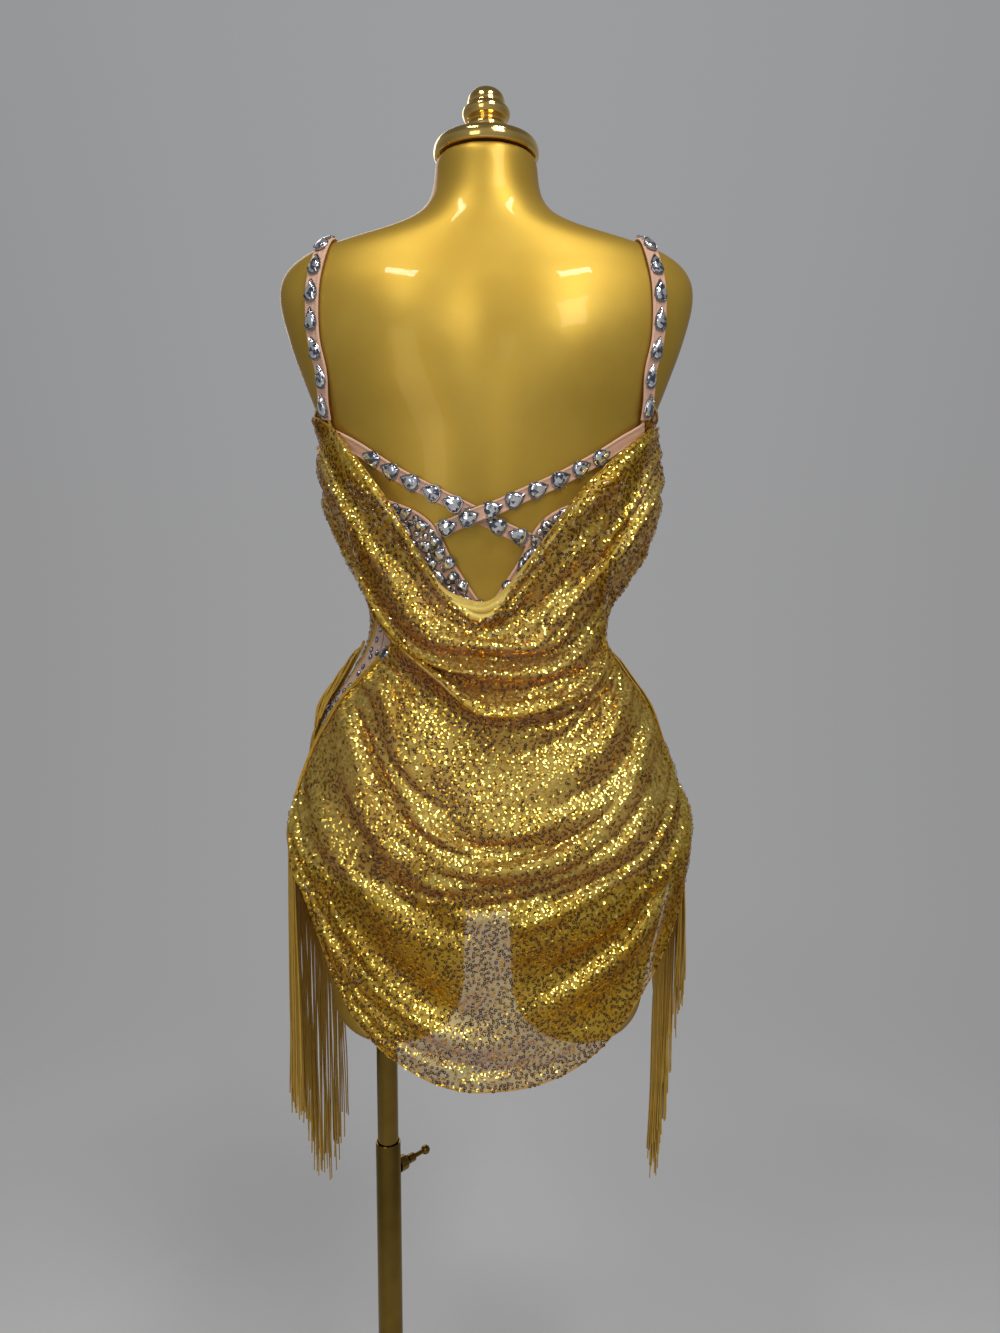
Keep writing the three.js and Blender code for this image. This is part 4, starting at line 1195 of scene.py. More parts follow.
@dataclass
class Drape:
    """The back's one piece of cloth, from the faced cowl edge to the hem."""

    form: DressForm
    places: tuple[float, ...] = (-1, -0.68, -0.36, 0, 0.36, 0.68, 1)
    reach: tuple[tuple[float, float, float], ...] = (
        (600, 158, 158), (700, 178, 178), (760, 188, 188), (800, 192.5, 192.5), (840, 191, 191),
        (890, 182, 182),
        (925, 170, 169), (955, 157, 156), (985, 141, 139), (1005, 129, 127), (1030, 118, 118),
        (1057, 119, 119),
        (1085, 136, 124), (1110, 150, 136), (1150, 162, 151), (1184, 163, 157), (1215, 158, 154),
        (1240, 152, 151))
    folds: tuple[Fold, ...] = (
        Fold("facing edge", (1223, 1212, 1167, 1064, 1157, 1220, 1229), 94, 93, 93),
        Fold("cowl edge", (1220, 1208, 1159, 1055, 1149, 1217, 1228), 110, 96, 96),
        Fold("first valley", (1203, 1184, 1094, 1039, 1104, 1194, 1210), 103, 98, 98),
        Fold("first crest", (1182, 1146, 1040, 1027, 1054, 1172, 1196), 119, 98, 98),
        Fold("second valley", (1148, 1074, 1026, 1016, 1034, 1096, 1170), 102, 97, 97),
        Fold("second crest", (1106, 1044, 1010, 1003, 1022, 1076, 1138), 116, 94, 92),
        Fold("third valley", (1050, 1016, 994, 990, 1010, 1030, 1062), 103, 80, 66),
        Fold("swag edge", (1034, 1000, 978, 971, 1000, 1021, 1037), 125, 73, 50),
        Fold("swag turn", (1022, 992, 975, 969, 993, 1010, 1023), 113, 72, 49),
        Fold("under swag", (1016, 985, 952, 941, 976, 1004, 1016), 106, 73, 51),
        Fold("first skirt crest", (1003, 968, 915, 878, 932, 986, 1002), 124, 76, 56),
        Fold("first skirt valley", (980, 945, 890, 858, 898, 958, 984), 118, 82, 63),
        Fold("second skirt crest", (962, 930, 870, 838, 866, 933, 964), 138, 88, 67),
        Fold("second skirt valley", (936, 900, 842, 812, 828, 888, 934), 130, 92, 73),
        Fold("third skirt crest", (908, 866, 808, 772, 800, 857, 908), 136, 94, 75),
        Fold("third skirt valley", (888, 840, 766, 722, 744, 822, 890), 126, 95, 72),
        Fold("fourth skirt crest", (870, 818, 744, 694, 713, 770, 872), 133, 95, 69),
        Fold("fourth skirt valley", (850, 780, 706, 668, 683, 735, 856), 124, 94, 67),
        Fold("hem", (838, 742, 664, 642, 657, 706, 848), 127, 93, 66))
    held_share: float = 0.14
    thickness: float = 0.9
    crease: float = 1.9
    gather: float = 5.5
    columns: int = 160
    rows_per_fold: int = 10
    binding_radius: float = 0.7
    dip: float = 30.0
    dip_place: float = 0.23
    dip_width: float = 0.12

    @property
    def last(self) -> float:
        """Number of the lowest fold."""
        return float(len(self.folds) - 1)

    def fold_at(self, rows: Array) -> tuple[Array, Array, Array, Array]:
        """Return the heights, depths and end angles at positions between the folds.

        Args:
            rows: Positions between the folds.

        Returns:
            Seven heights a position, the depth, and the end angles at the right and the left.
        """
        table = np.array([[*f.z, f.out, f.right, f.left] for f in self.folds])
        i = np.minimum(np.floor(rows).astype(int), len(table) - 2)
        t = (rows - i)[:, None]
        before = table[np.maximum(i - 1, 0)]
        a = table[i]
        b = table[i + 1]
        after = table[np.minimum(i + 2, len(table) - 1)]
        line = 0.5 * (2 * a + (b - before) * t + (2 * before - 5 * a + 4 * b - after) * t ** 2
                      + (3 * a - before - 3 * b + after) * t ** 3)
        return line[:, :7], line[:, 7], line[:, 8], line[:, 9]

    def grid(self, rows: Array, across: Array) -> Array:
        """Return the middle of the cloth.

        Args:
            rows: Positions between the folds, from 0 at the facing edge.
            across: Places from -1 at the wearer's right edge to 1 at the left.

        Returns:
            Points, rows x across x 3.
        """
        heights, out, right, left = self.fold_at(rows)
        z = Track(self.places, heights.T)(across).T
        z -= (self.dip * np.exp(-((across[None] - self.dip_place) / self.dip_width) ** 2)
              * ease(1 - rows[:, None] / 3.5))
        degrees = across[None] * np.where(across[None] < 0, right[:, None], left[:, None])
        turn = np.radians(degrees)
        places, *sides = zip(*self.reach)
        right_reach, left_reach = (Track(places, side)(z) for side in sides)
        reach = np.where(across[None] < 0, right_reach, left_reach)
        free = np.stack([reach * np.sin(turn), out[:, None] * np.cos(turn), z], -1)
        held = ease((np.abs(across) - 1 + self.held_share) / self.held_share)[None, :, None]
        seam = self.form.lifted(degrees, z, HELD_LIFT)
        middle = self.form.pushed_clear(free, DRAPE_CLEARANCE) * (1 - held) + seam * held
        wrinkle = self.wrinkles(rows[:, None], across[None])[..., None]
        return middle + outward(middle) * wrinkle * (1 - held)

    def wrinkles(self, row: Array, across: Array) -> Array:
        """Return the height of the small creases that run with the main folds.

        Args:
            row: Positions between the folds.
            across: Places from -1 at the wearer's right edge to 1 at the left.

        Returns:
            Heights above the main folds.
        """
        drift = 0.5 * np.sin(2.3 * across + 0.7) + 0.22 * np.sin(5.1 * across + 0.4 * row)
        fine = (np.sin(2 * math.pi * (1.35 * row + drift))
                + 0.6 * np.sin(2 * math.pi * (2.2 * row - 1.4 * drift) + 1)
                + 0.5 * np.sin(7 * across + 1.7 * row))
        edges = ease(row / 1.2) * ease((self.last - row) / 0.6)
        turned_under = 1 - np.exp(-((row - 7.4) / 0.6) ** 2)
        patch = 0.55 + 0.45 * np.sin(3.3 * across + 1.1 * row + 0.6)
        pulled = 0.5 + 0.5 * np.sin(2 * math.pi * (0.62 * row + 1.1 * across + 0.25 * np.sin(3 * across)))
        skirt = ease((row - 9) / 1.5) * ease((self.last - row) / 2) * (0.6 + 0.4 * np.sin(2.2 * across + 1.3))
        return (self.crease * fine * patch * edges + self.gather * pulled * skirt) * turned_under

    def facing_depth(self, across: Array) -> Array:
        """Return the fold down to which the cloth has no sequins, which is lowest in the cowl's middle."""
        return 0.12 + 1.1 * np.exp(-((across - 0.03) / 0.2) ** 2)

    def build(self, cloth: bpy.types.Material, facing: bpy.types.Material,
              piping: bpy.types.Material) -> None:
        """Make the cloth, its facing and its bound edges.

        Args:
            cloth: The ground cloth.
            facing: The plainer inside that shows along the cowl.
            piping: The edge binding.
        """
        across = np.linspace(-1, 1, self.columns + 1)
        rows = np.linspace(0, self.last, int(self.last) * self.rows_per_fold + 1)
        middle = self.grid(rows, across)
        drape = mesh_piece("drape_cloth", thick(middle, self.thickness), cloth, 60)
        drape.data.materials.append(facing)
        centres = (across[1:] + across[:-1]) / 2
        faced = (rows[:-1, None] < self.facing_depth(centres)[None]).ravel()
        for face in drape.data.polygons[:len(faced)]:
            face.material_index = int(faced[face.index])
        dress(drape, "dressed_form", "sequin_mesh", "back_drape")
        edges = [middle[:, 0], middle[:, -1], middle[-1], middle[0]]
        paths = [Route(edge).at(np.linspace(0, 1, 260)) for edge in edges]
        bindings = [tubes(path[None], self.binding_radius, 8) for path in paths]
        binding = mesh_piece("drape_binding", Shape.joined(bindings), piping)
        dress(binding, "dressed_form", "sequin_mesh")


# Flat-lying panels

class Edge(Enum):
    """Sewing lines of the bodysuit that the panels share."""

    SIDE = ((840, 132), (880, 122), (923, 107), (952, 94), (984, 80), (1009, 73), (1050, 66), (1090, 63),
            (1250, 63))
    INSET_BACK = ((820, 48), (1078, 60), (1150, 62))
    LEG = ((0, 806), (9, 806), (24, 812), (50, 830), (75, 856), (95, 880), (112, 890), (130, 882), (150, 850),
           (166, 818), (172, 806), (180, 806))
    NECK = ((63, 1238), (90, 1228), (112, 1246), (126, 1262), (140, 1252), (160, 1226), (180, 1216))
    BAND = ((0, 1056), (3.5, 1063), (7, 1073), (11, 1086), (15, 1101), (18, 1117), (22, 1131), (28, 1141),
            (36, 1148), (48, 1156), (63, 1172))

    def at(self, place: Array) -> Array:
        """Return the line's values, smoothed except on the inset's straight back edge.

        Args:
            place: Angles or heights, whichever the line is given by.

        Returns:
            The line at these places.
        """
        knots, values = zip(*self.value)
        if self is Edge.INSET_BACK:
            return np.interp(place, knots, values)
        return Track(knots, values)(place)


def folded(degrees: Array) -> Array:
    """Return the angle from the centre back, from 0 to 180, on either side."""
    turn = np.abs(degrees)
    return np.where(turn > 180, 360 - turn, turn)


@dataclass
class Panel:
    """One cut piece that lies on the form between two side edges and a top and bottom line."""

    form: DressForm
    name: str
    columns: int
    rows: int
    angle: Callable[[Array, Array], Array]
    top: Callable[[Array], Array]
    bottom: Callable[[Array], Array]
    gap: float = 0.3

    def places(self, columns: int, rows: int) -> tuple[Array, Array]:
        """Return the angles and heights of a grid over the panel.

        Args:
            columns: Cells across.
            rows: Cells down.

        Returns:
            The angles and the heights.
        """
        u = np.linspace(0, 1, columns + 1)[None]
        v = np.linspace(0, 1, rows + 1)[:, None]
        degrees = self.angle(u, np.full((rows + 1, columns + 1), 1000.0))
        for _ in range(6):
            z = self.top(degrees) * (1 - v) + self.bottom(degrees) * v
            degrees = self.angle(u, z)
        return degrees, z

    def grid(self, lift: float, columns: int | None = None, rows: int | None = None) -> Array:
        """Return points over the panel at this lift from the skin."""
        degrees, z = self.places(columns or self.columns, rows or self.rows)
        return self.form.lifted(degrees, z, lift)

    def cloth(self, finish: bpy.types.Material) -> bpy.types.Object:
        """Return the panel's cloth as a closed wall."""
        wall = shell(self.grid(PANEL_TOP - self.gap), self.grid(BODY_GAP + self.gap))
        return mesh_piece(self.name, wall, finish, 60)

    def binding(self, radius: float, sides: Sequence[str]) -> Shape:
        """Return a fold-over binding along the named edges: top, bottom, first and last.

        Args:
            radius: Radius of the binding.
            sides: Names of the edges.

        Returns:
            The binding.
        """
        grid = self.grid(PANEL_TOP - 0.5)
        edges = {"top": grid[0], "bottom": grid[-1], "first": grid[:, 0], "last": grid[:, -1]}
        paths = [Route(edges[side]).at(np.linspace(0, 1, 200)) for side in sides]
        return Shape.joined([tubes(path[None], radius, 8) for path in paths])


# Stones and sequins

class Cut(Enum):
    """Outline of a stone: how pointed one end is, and how many sides it has."""

    PEAR = (1.15, 12)
    ROUND = (0.0, 10)
    CHATON = (0.0, 6)


@dataclass(frozen=True)
class Stone:
    """A cut stone in a metal cup, seen from above, standing on Z = 0 with its tip along X."""

    cut: Cut
    length: float
    width: float
    height: float

    def outline(self) -> Array:
        """Return the girdle's points.

        Returns:
            Its points.
        """
        point, sides = self.cut.value
        turn = np.arange(sides) * 2 * math.pi / sides
        narrow = np.sin(turn / 2) ** point
        x = 0.5 * self.length * np.cos(turn)
        y = 0.5 * self.width * np.sin(turn) * narrow * (1 + 0.22 * point)
        return np.stack([x, y, np.zeros(sides)], -1)

    def ring(self, scale: float, share: float, turned_half: bool = False) -> Array:
        """Return the outline at this scale and share of the height, turned half a side if asked.

        Args:
            scale: Size, as a share of the girdle.
            share: Height, as a share of the stone.
            turned_half: True to turn it by half a side.

        Returns:
            Its points.
        """
        outline = self.outline()
        if turned_half:
            outline = (outline + np.roll(outline, -1, axis=0)) / 2
        return outline * scale + (0, 0, share * self.height)

    def glass(self) -> Shape:
        """Return the cut glass: a short pavilion, a girdle, a faceted crown and a table.

        Returns:
            The glass.
        """
        count = self.cut.value[1]
        rings = [self.ring(0.86, 0.05), self.ring(1.0, 0.42), self.ring(0.84, 0.80, True),
                 self.ring(0.60, 1.0)]
        if self.cut is Cut.CHATON:
            rings = [self.ring(0.9, 0.0), self.ring(1.0, 0.35), self.ring(0.6, 1.0)]
        points = np.vstack(rings)
        i = np.arange(count)
        after = (i + 1) % count
        faces = [i[None, ::-1]]
        for k in range(len(rings) - 1):
            low = k * count
            high = low + count
            if self.cut is not Cut.CHATON and k == 1:
                faces.append(np.stack([low + i, low + after, high + i], -1))
                faces.append(np.stack([low + after, high + after, high + i], -1))
            elif self.cut is not Cut.CHATON and k == 2:
                faces.append(np.stack([low + i, low + after, high + after], -1))
                faces.append(np.stack([low + i, high + after, high + i], -1))
            else:
                faces.append(np.stack([low + i, low + after, high + after, high + i], -1))
        faces.append((len(rings) - 1) * count + i[None])
        return Shape(points, faces)

    def cup(self) -> Shape:
        """Return the metal cup with four claws.

        Returns:
            The cup.
        """
        section = [(0.90, 0.0), (1.10, 0.0), (1.14, 0.34), (1.09, 0.50), (1.00, 0.50), (0.98, 0.40),
                   (0.90, 0.0)]
        band = surface(np.array([self.ring(scale, share) for scale, share in section]), closed=True)
        outline = self.outline()
        picks = outline[np.linspace(0, len(outline), 4, endpoint=False).astype(int) + 1]
        paths = np.array([[p * (1.12, 1.12, 1) + (0, 0, 0.2 * self.height),
                           p * (1.08, 1.08, 1) + (0, 0, 0.6 * self.height),
                           p * (0.86, 0.86, 1) + (0, 0, 0.85 * self.height)] for p in picks])
        return Shape.joined([band, tubes(paths, 0.035 * self.length, 5, 0.7)])


@dataclass
class Setting:
    """Stones that are fastened in place, gathered into one piece of glass and one of metal."""

    glass: list[Shape] = field(default_factory=list)
    metal: list[Shape] = field(default_factory=list)

    def add(self, stone: Stone, places: Array, frames: Array, cups: bool = True) -> None:
        """Set a stone at each place, with its tip along each frame's first axis.

        Args:
            stone: The stone.
            places: Middles of the stones, n x 3.
            frames: Axes of each stone, n x 3 x 3.
            cups: True where they sit in metal cups.
        """
        self.glass.append(stone.glass().scattered(places, frames))
        if cups:
            self.metal.append(stone.cup().scattered(places, frames))

    def build(self, name: str, crystal: bpy.types.Material, silver: bpy.types.Material,
              slot: str) -> list[bpy.types.Object]:
        """Return the glass and metal pieces.

        Args:
            name: Start of the names of the pieces.
            crystal: Finish of the stones.
            silver: Finish of their cups.
            slot: Not used; dress, which it is handed to, ignores it.

        Returns:
            The glass, and the metal if there is any.
        """
        pieces = [dress(mesh_piece(f"{name}_crystals", Shape.joined(self.glass), crystal, None),
                        "dressed_form", slot)]
        if self.metal:
            cups = mesh_piece(f"{name}_cups", Shape.joined(self.metal), silver, 30)
            pieces.append(dress(cups, "dressed_form", slot))
        return pieces


def frames_of(tips: Array, normals: Array) -> Array:
    """Return axes for stones: tip along the cloth, side, and straight out.

    Args:
        tips: Where the tips point, n x 3.
        normals: The ways out, n x 3.

    Returns:
        Axes, n x 3 x 3.
    """
    out = unit(normals)
    side = unit(np.cross(out, tips))
    return np.stack([np.cross(side, out), side, out], axis=1)


@dataclass
class SequinWork:
    """Ring sequins sewn in wandering chains over a cloth's outer face."""

    diameter: float = 3.2
    hole: float = 1.3
    pitch: float = 2.7
    wave: float = 6.2
    waves: int = 26
    tilt: float = 0.12
    scatter: float = 0.10
    seed: int = 11

    def ring(self) -> Shape:
        """Return one slightly cupped ring of six sides.

        Returns:
            The ring, about the origin.
        """
        turn = np.arange(6) * math.pi / 3
        circle = np.stack([np.cos(turn), np.sin(turn), np.zeros(6)], -1)
        outer = circle * self.diameter / 2 + (0, 0, 0.12)
        return surface(np.array([outer, circle * self.hole / 2]), closed=True)

    def field(self, points: Array) -> tuple[Array, Array]:
        """Return a smooth random field at the points and its gradient.

        Args:
            points: Points, n x 3.

        Returns:
            The values, and the gradients n x 3.
        """
        rng = np.random.default_rng(self.seed)
        directions = unit(rng.normal(size=(self.waves, 3))) * 2 * math.pi / self.wave
        phases = rng.uniform(0, 2 * math.pi, self.waves)
        angle = points @ directions.T + phases
        return np.cos(angle).sum(-1), -np.sin(angle) @ directions

    def crossings(self, grid: Array) -> Array:
        """Return the points of a fine grid's lines where the field passes through zero.

        Args:
            grid: Points, rows x columns x 3.

        Returns:
            The points, n x 3.
        """
        value = np.stack([self.field(row)[0] for row in grid])
        found = []
        for axis in (0, 1):
            a = np.take(value, range(value.shape[axis] - 1), axis)
            b = np.take(value, range(1, value.shape[axis]), axis)
            p = np.take(grid, range(grid.shape[axis] - 1), axis)
            q = np.take(grid, range(1, grid.shape[axis]), axis)
            hit = (a * b) < 0
            share = (a[hit] / (a[hit] - b[hit]))[:, None]
            found.append(p[hit] * (1 - share) + q[hit] * share)
        return np.vstack(found)

    def chained(self, points: Array) -> list[int]:
        """Return numbers of points that follow each other a pitch apart.

        Args:
            points: Points, n x 3.

        Returns:
            Numbers of the chosen points, in order.
        """
        tree = kdtree.KDTree(len(points))
        for i, point in enumerate(points):
            tree.insert(point, i)
        tree.balance()
        free = [True] * len(points)
        chosen = []
        for seed in range(len(points)):
            now = seed
            while now is not None and free[now]:
                chosen.append(now)
                following = None
                for _, i, distance in tree.find_range(points[now], 1.7 * self.pitch):
                    if distance < self.pitch:
                        free[i] = False
                    elif free[i] and (following is None or distance < following[0]):
                        following = (distance, i)
                now = following[1] if following else None
        return chosen

    def sew(self, grid: Array, normals: Array, bare: Array | None = None) -> Shape:
        """Return the sequins over one cloth.

        Args:
            grid: A fine grid of points of the cloth's outer face.
            normals: Its outward normals.
            bare: True at the grid's points that carry no sequins.

        Returns:
            The sequins as one shape.
        """
        points = self.crossings(grid)
        points = points[self.chained(points)]
        flat = grid.reshape(-1, 3)
        tree = kdtree.KDTree(len(flat))
        for i, point in enumerate(flat):
            tree.insert(point, i)
        tree.balance()
        nearest = np.array([tree.find(point)[1] for point in points])
        if bare is not None:
            sewn = ~bare.ravel()[nearest]
            points = points[sewn]
            nearest = nearest[sewn]
        out = normals.reshape(-1, 3)[nearest]
        along = unit(np.cross(out, self.field(points)[1]))
        rng = np.random.default_rng(self.seed + 1)
        loose = rng.normal(scale=self.scatter, size=(len(points), 2))
        across = np.cross(out, along)
        leaning = unit(out - along * (self.tilt + loose[:, :1]) + across * loose[:, 1:])
        frames = frames_of(along, leaning)
        places = points + out * (0.35 + self.diameter / 2 * np.abs(self.tilt + loose[:, :1]))
        log.info("%d sequins", len(points))
        return self.ring().scattered(places, frames)

    def split(self, shape: Shape, parts: int) -> list[Shape]:
        """Return the sequins in several shapes of whole rings, highest first.

        Args:
            shape: The sequins.
            parts: How many shapes to make.

        Returns:
            The shapes.
        """
        size = 12
        points = shape.points.reshape(-1, size, 3)
        order = np.argsort(-points[:, :, 2].mean(1), kind="stable")
        ring = self.ring().faces
        shapes = []
        for numbers in np.array_split(order, parts):
            shift = (np.arange(len(numbers)) * size)[:, None, None]
            faces = [(f[None] + shift).reshape(-1, f.shape[1]) for f in ring]
            shapes.append(Shape(points[numbers].reshape(-1, 3), faces))
        return shapes


# Straps

@dataclass(frozen=True)
class Station:
    """Place of a strap's middle on the form; side is 1 behind and -1 in front."""

    x: float
    z: float
    side: int
    lift: float


@dataclass
class Strap:
    """Elastic strap with turned edges, stitching and a row of stones."""

    form: DressForm
    name: str
    node: str
    width: float
    pitch: float
    stone: Stone
    stations: tuple[Station, ...]
    mirror: int = 1
    bare_below: float = 0.0
    bare_above: float = 1.0

    def place(self, extra: float) -> Array:
        """Return the stations as points, this much further out.

        Args:
            extra: Distance further out.

        Returns:
            Points, stations x 3.
        """
        x, z, side, lift = np.array([(s.x, s.z, s.side, s.lift) for s in self.stations]).T
        degrees = self.form.degrees_at(x, z, side)
        return self.form.lifted(degrees, z, lift + extra) * (self.mirror, 1, 1)

    def frames(self, shares: Array) -> tuple[Array, Array, Array, Array]:
        """Return the middle, the way along, the way across and the way out at shares of the length.

        Args:
            shares: Shares of the length.

        Returns:
            Four rows of points or unit directions.
        """
        under = Route(self.place(0))
        over = Route(self.place(1))
        places = under.places(shares)
        middle = under.along(places)
        out = unit(over.along(places) - middle)
        along = slopes_of(under.at(np.clip(shares, 0, 1)))
        across = unit(np.cross(along, out))
        return middle, along, across, out

    def build(self, elastic: bpy.types.Material, thread: bpy.types.Material, crystal: bpy.types.Material,
              silver: bpy.types.Material) -> None:
        """Make the strap, its stitches and its stones.

        Args:
            elastic: Finish of the elastic.
            thread: Finish of the stitches.
            crystal: Finish of the stones.
            silver: Finish of their cups.
        """
        length = Route(self.place(0)).length
        shares = np.linspace(0, 1, int(length / 2.5) + 1)
        middle, _, across, out = self.frames(shares)
        section = [(-0.5, 0.55), (-0.47, 1.35), (-0.42, 1.65), (-0.36, 1.45), (-0.33, 1.2), (-0.15, 1.3),
                   (0, 1.35),
                   (0.15, 1.3), (0.33, 1.2), (0.36, 1.45), (0.42, 1.65), (0.47, 1.35), (0.5, 0.55)]
        top = np.stack([middle + across * share * self.width + out * rise for share, rise in section], axis=1)
        low = np.stack([middle + across * share * self.width + out * 0.15 for share, _ in section], axis=1)
        strap = mesh_piece(self.name, shell(top, low), elastic, 60)
        dress(strap, "dressed_form", "strap_elastic", self.node)
        stitches = self.stitches(length)
        sewing = mesh_piece(f"{self.name}_stitching", stitches, thread)
        dress(sewing, "dressed_form", "strap_elastic")
        count = round(length / self.pitch)
        centres = (np.arange(count) + 0.5) / count
        centres = centres[(centres > self.bare_below) & (centres < self.bare_above)]
        fine = np.linspace(0, 1, 801)
        middle, along, _, out = (values[np.rint(centres * 800).astype(int)] for values in self.frames(fine))
        tips = along * np.where(along[:, 2:] < 0, -1, 1) if self.stone.cut is Cut.PEAR else along
        setting = Setting()
        setting.add(self.stone, middle + out * 1.2, frames_of(tips, out))
        setting.build(self.name, crystal, silver, "stone_band")

    def stitches(self, length: float) -> Shape:
        """Return two rows of short stitches along the turned edges.

        Args:
            length: Length of the strap.

        Returns:
            The stitches.
        """
        shares = (np.arange(int(length / 3)) + 0.5) / int(length / 3)
        middle, along, across, out = self.frames(shares)
        rows = []
        for share in (-0.385, 0.385):
            centre = middle + across * share * self.width + out * 1.62
            steps = np.linspace(-0.95, 0.95, 5)
            arch = 0.14 - 0.28 * (steps / 0.95) ** 2
            rows.append(centre[:, None] + along[:, None] * steps[:, None] + out[:, None] * arch[:, None])
        return tubes(np.concatenate(rows), 0.2, 5)


# Stone-covered back bands and jewelled insets

@dataclass
class Band:
    """Peach band under the open back, covered with stones and bound along its upper edge."""

    form: DressForm
    side: int
    depth: float = 46.0
    end: float = 62.3
    seed: int = 5

    def panel(self) -> Panel:
        """Return the band's cut.

        Returns:
            The cut.
        """
        word = "left" if self.side > 0 else "right"
        return Panel(self.form, f"back_band_{word}_cloth", 60, 12,
                     lambda u, z: self.side * (0.2 + (self.end - 0.2) * u) + 0 * z,
                     lambda degrees: Edge.BAND.at(folded(degrees)),
                     lambda degrees: Edge.BAND.at(folded(degrees)) - self.depth)

    def build(self, cloth: bpy.types.Material, piping: bpy.types.Material, crystal: bpy.types.Material,
              silver: bpy.types.Material) -> None:
        """Make the band, its binding and its stones.

        Args:
            cloth: Finish of the cloth.
            piping: Finish of the binding.
            crystal: Finish of the stones.
            silver: Finish of their cups.
        """
        word = "left" if self.side > 0 else "right"
        panel = self.panel()
        piece = dress(panel.cloth(cloth), "dressed_form", "stone_band", f"back_band_{word}")
        binding = mesh_piece(f"back_band_{word}_binding", panel.binding(1.5, ["top"]), piping)
        dress(binding, "dressed_form", "strap_elastic")
        setting = Setting()
        taken = np.full((1, 4), 1e6)
        rng = np.random.default_rng(self.seed)
        fine = panel.grid(PANEL_TOP - 0.5, 240, 48)
        normals = outward(fine)
        for stone, room, tries in ((Stone(Cut.PEAR, 14, 11, 3.8), 5.7, 4000),
                                   (Stone(Cut.ROUND, 9, 9, 3.4), 4.3, 4000),
                                   (Stone(Cut.ROUND, 5.5, 5.5, 2.6), 2.7, 4000),
                                   (Stone(Cut.CHATON, 3.2, 3.2, 1.6), 1.5, 4000)):
            places, tips, outs = [], [], []
            for _ in range(tries):
                r = rng.integers(4, 45)
                c = rng.integers(3, 238)
                here = fine[r, c]
                if np.any(np.linalg.norm(taken[:, :3] - here, axis=1) < room + taken[:, 3]):
                    continue
                taken = np.vstack([taken, (*here, room)])
                places.append(here)
                outs.append(normals[r, c])
                turn = rng.uniform(0, 2 * math.pi)
                tips.append((math.cos(turn), 0.1, math.sin(turn)))
            if places:
                setting.add(stone, np.array(places), frames_of(np.array(tips), np.array(outs)),
                            stone.cut is not Cut.CHATON)
        pieces = setting.build(f"back_band_{word}", crystal, silver, "stone_band")


@dataclass
class Inset:
    """Skin-toned mesh between the front panel and the drape, dotted with small stones."""

    form: DressForm
    side: int
    spacing: float = 10.5
    gap: float = 0.4
    top: float = 1078.0

    def panel(self) -> Panel:
        """Return the inset's cut.

        Returns:
            The cut.
        """
        word = "left" if self.side > 0 else "right"

        def angle(u: Array, z: Array) -> Array:
            """Return the angle at a share of the width."""
            first = Edge.INSET_BACK.at(z) + self.gap
            return self.side * (first + (Edge.SIDE.at(z) - self.gap - first) * u)

        return Panel(self.form, f"side_inset_{word}_mesh", 30, 60, angle,
                     lambda degrees: np.full(np.shape(degrees), self.top),
                     lambda degrees: Edge.LEG.at(folded(degrees)))

    def build(self, mesh: bpy.types.Material, crystal: bpy.types.Material,
              silver: bpy.types.Material) -> None:
        """Make the mesh and its scattered stones.

        Args:
            mesh: Finish of the mesh.
            crystal: Finish of the stones.
            silver: Finish of their cups.
        """
        word = "left" if self.side > 0 else "right"
        panel = self.panel()
        piece = dress(panel.cloth(mesh), "dressed_form", "skin_mesh", f"side_inset_{word}")
        fine = panel.grid(PANEL_TOP - 0.3, 60, 130)
        normals = outward(fine)
        rng = np.random.default_rng(31)
        places, outs = [], []
        for k, r in enumerate(range(4, 128, 5)):
            line = fine[r]
            lengths = np.concatenate([[0], np.cumsum(np.linalg.norm(np.diff(line, axis=0), axis=1))])
            start = 4 + (k % 2) * self.spacing / 2
            for at in np.arange(start, lengths[-1] - 3, self.spacing):
                c = int(np.argmin(np.abs(lengths - at - rng.uniform(-1.6, 1.6))))
                row = int(np.clip(r + rng.integers(-1, 2), 0, 130))
                places.append(fine[row, c])
                outs.append(normals[row, c])
        setting = Setting()
        outs = np.array(outs)
        tips = np.full(outs.shape, 0.6) * (self.side, 1, 1)
        setting.add(Stone(Cut.CHATON, 5.4, 4.6, 1.8), np.array(places), frames_of(tips, outs))
        pieces = setting.build(f"side_inset_{word}", crystal, silver, "skin_mesh")


# Fringe

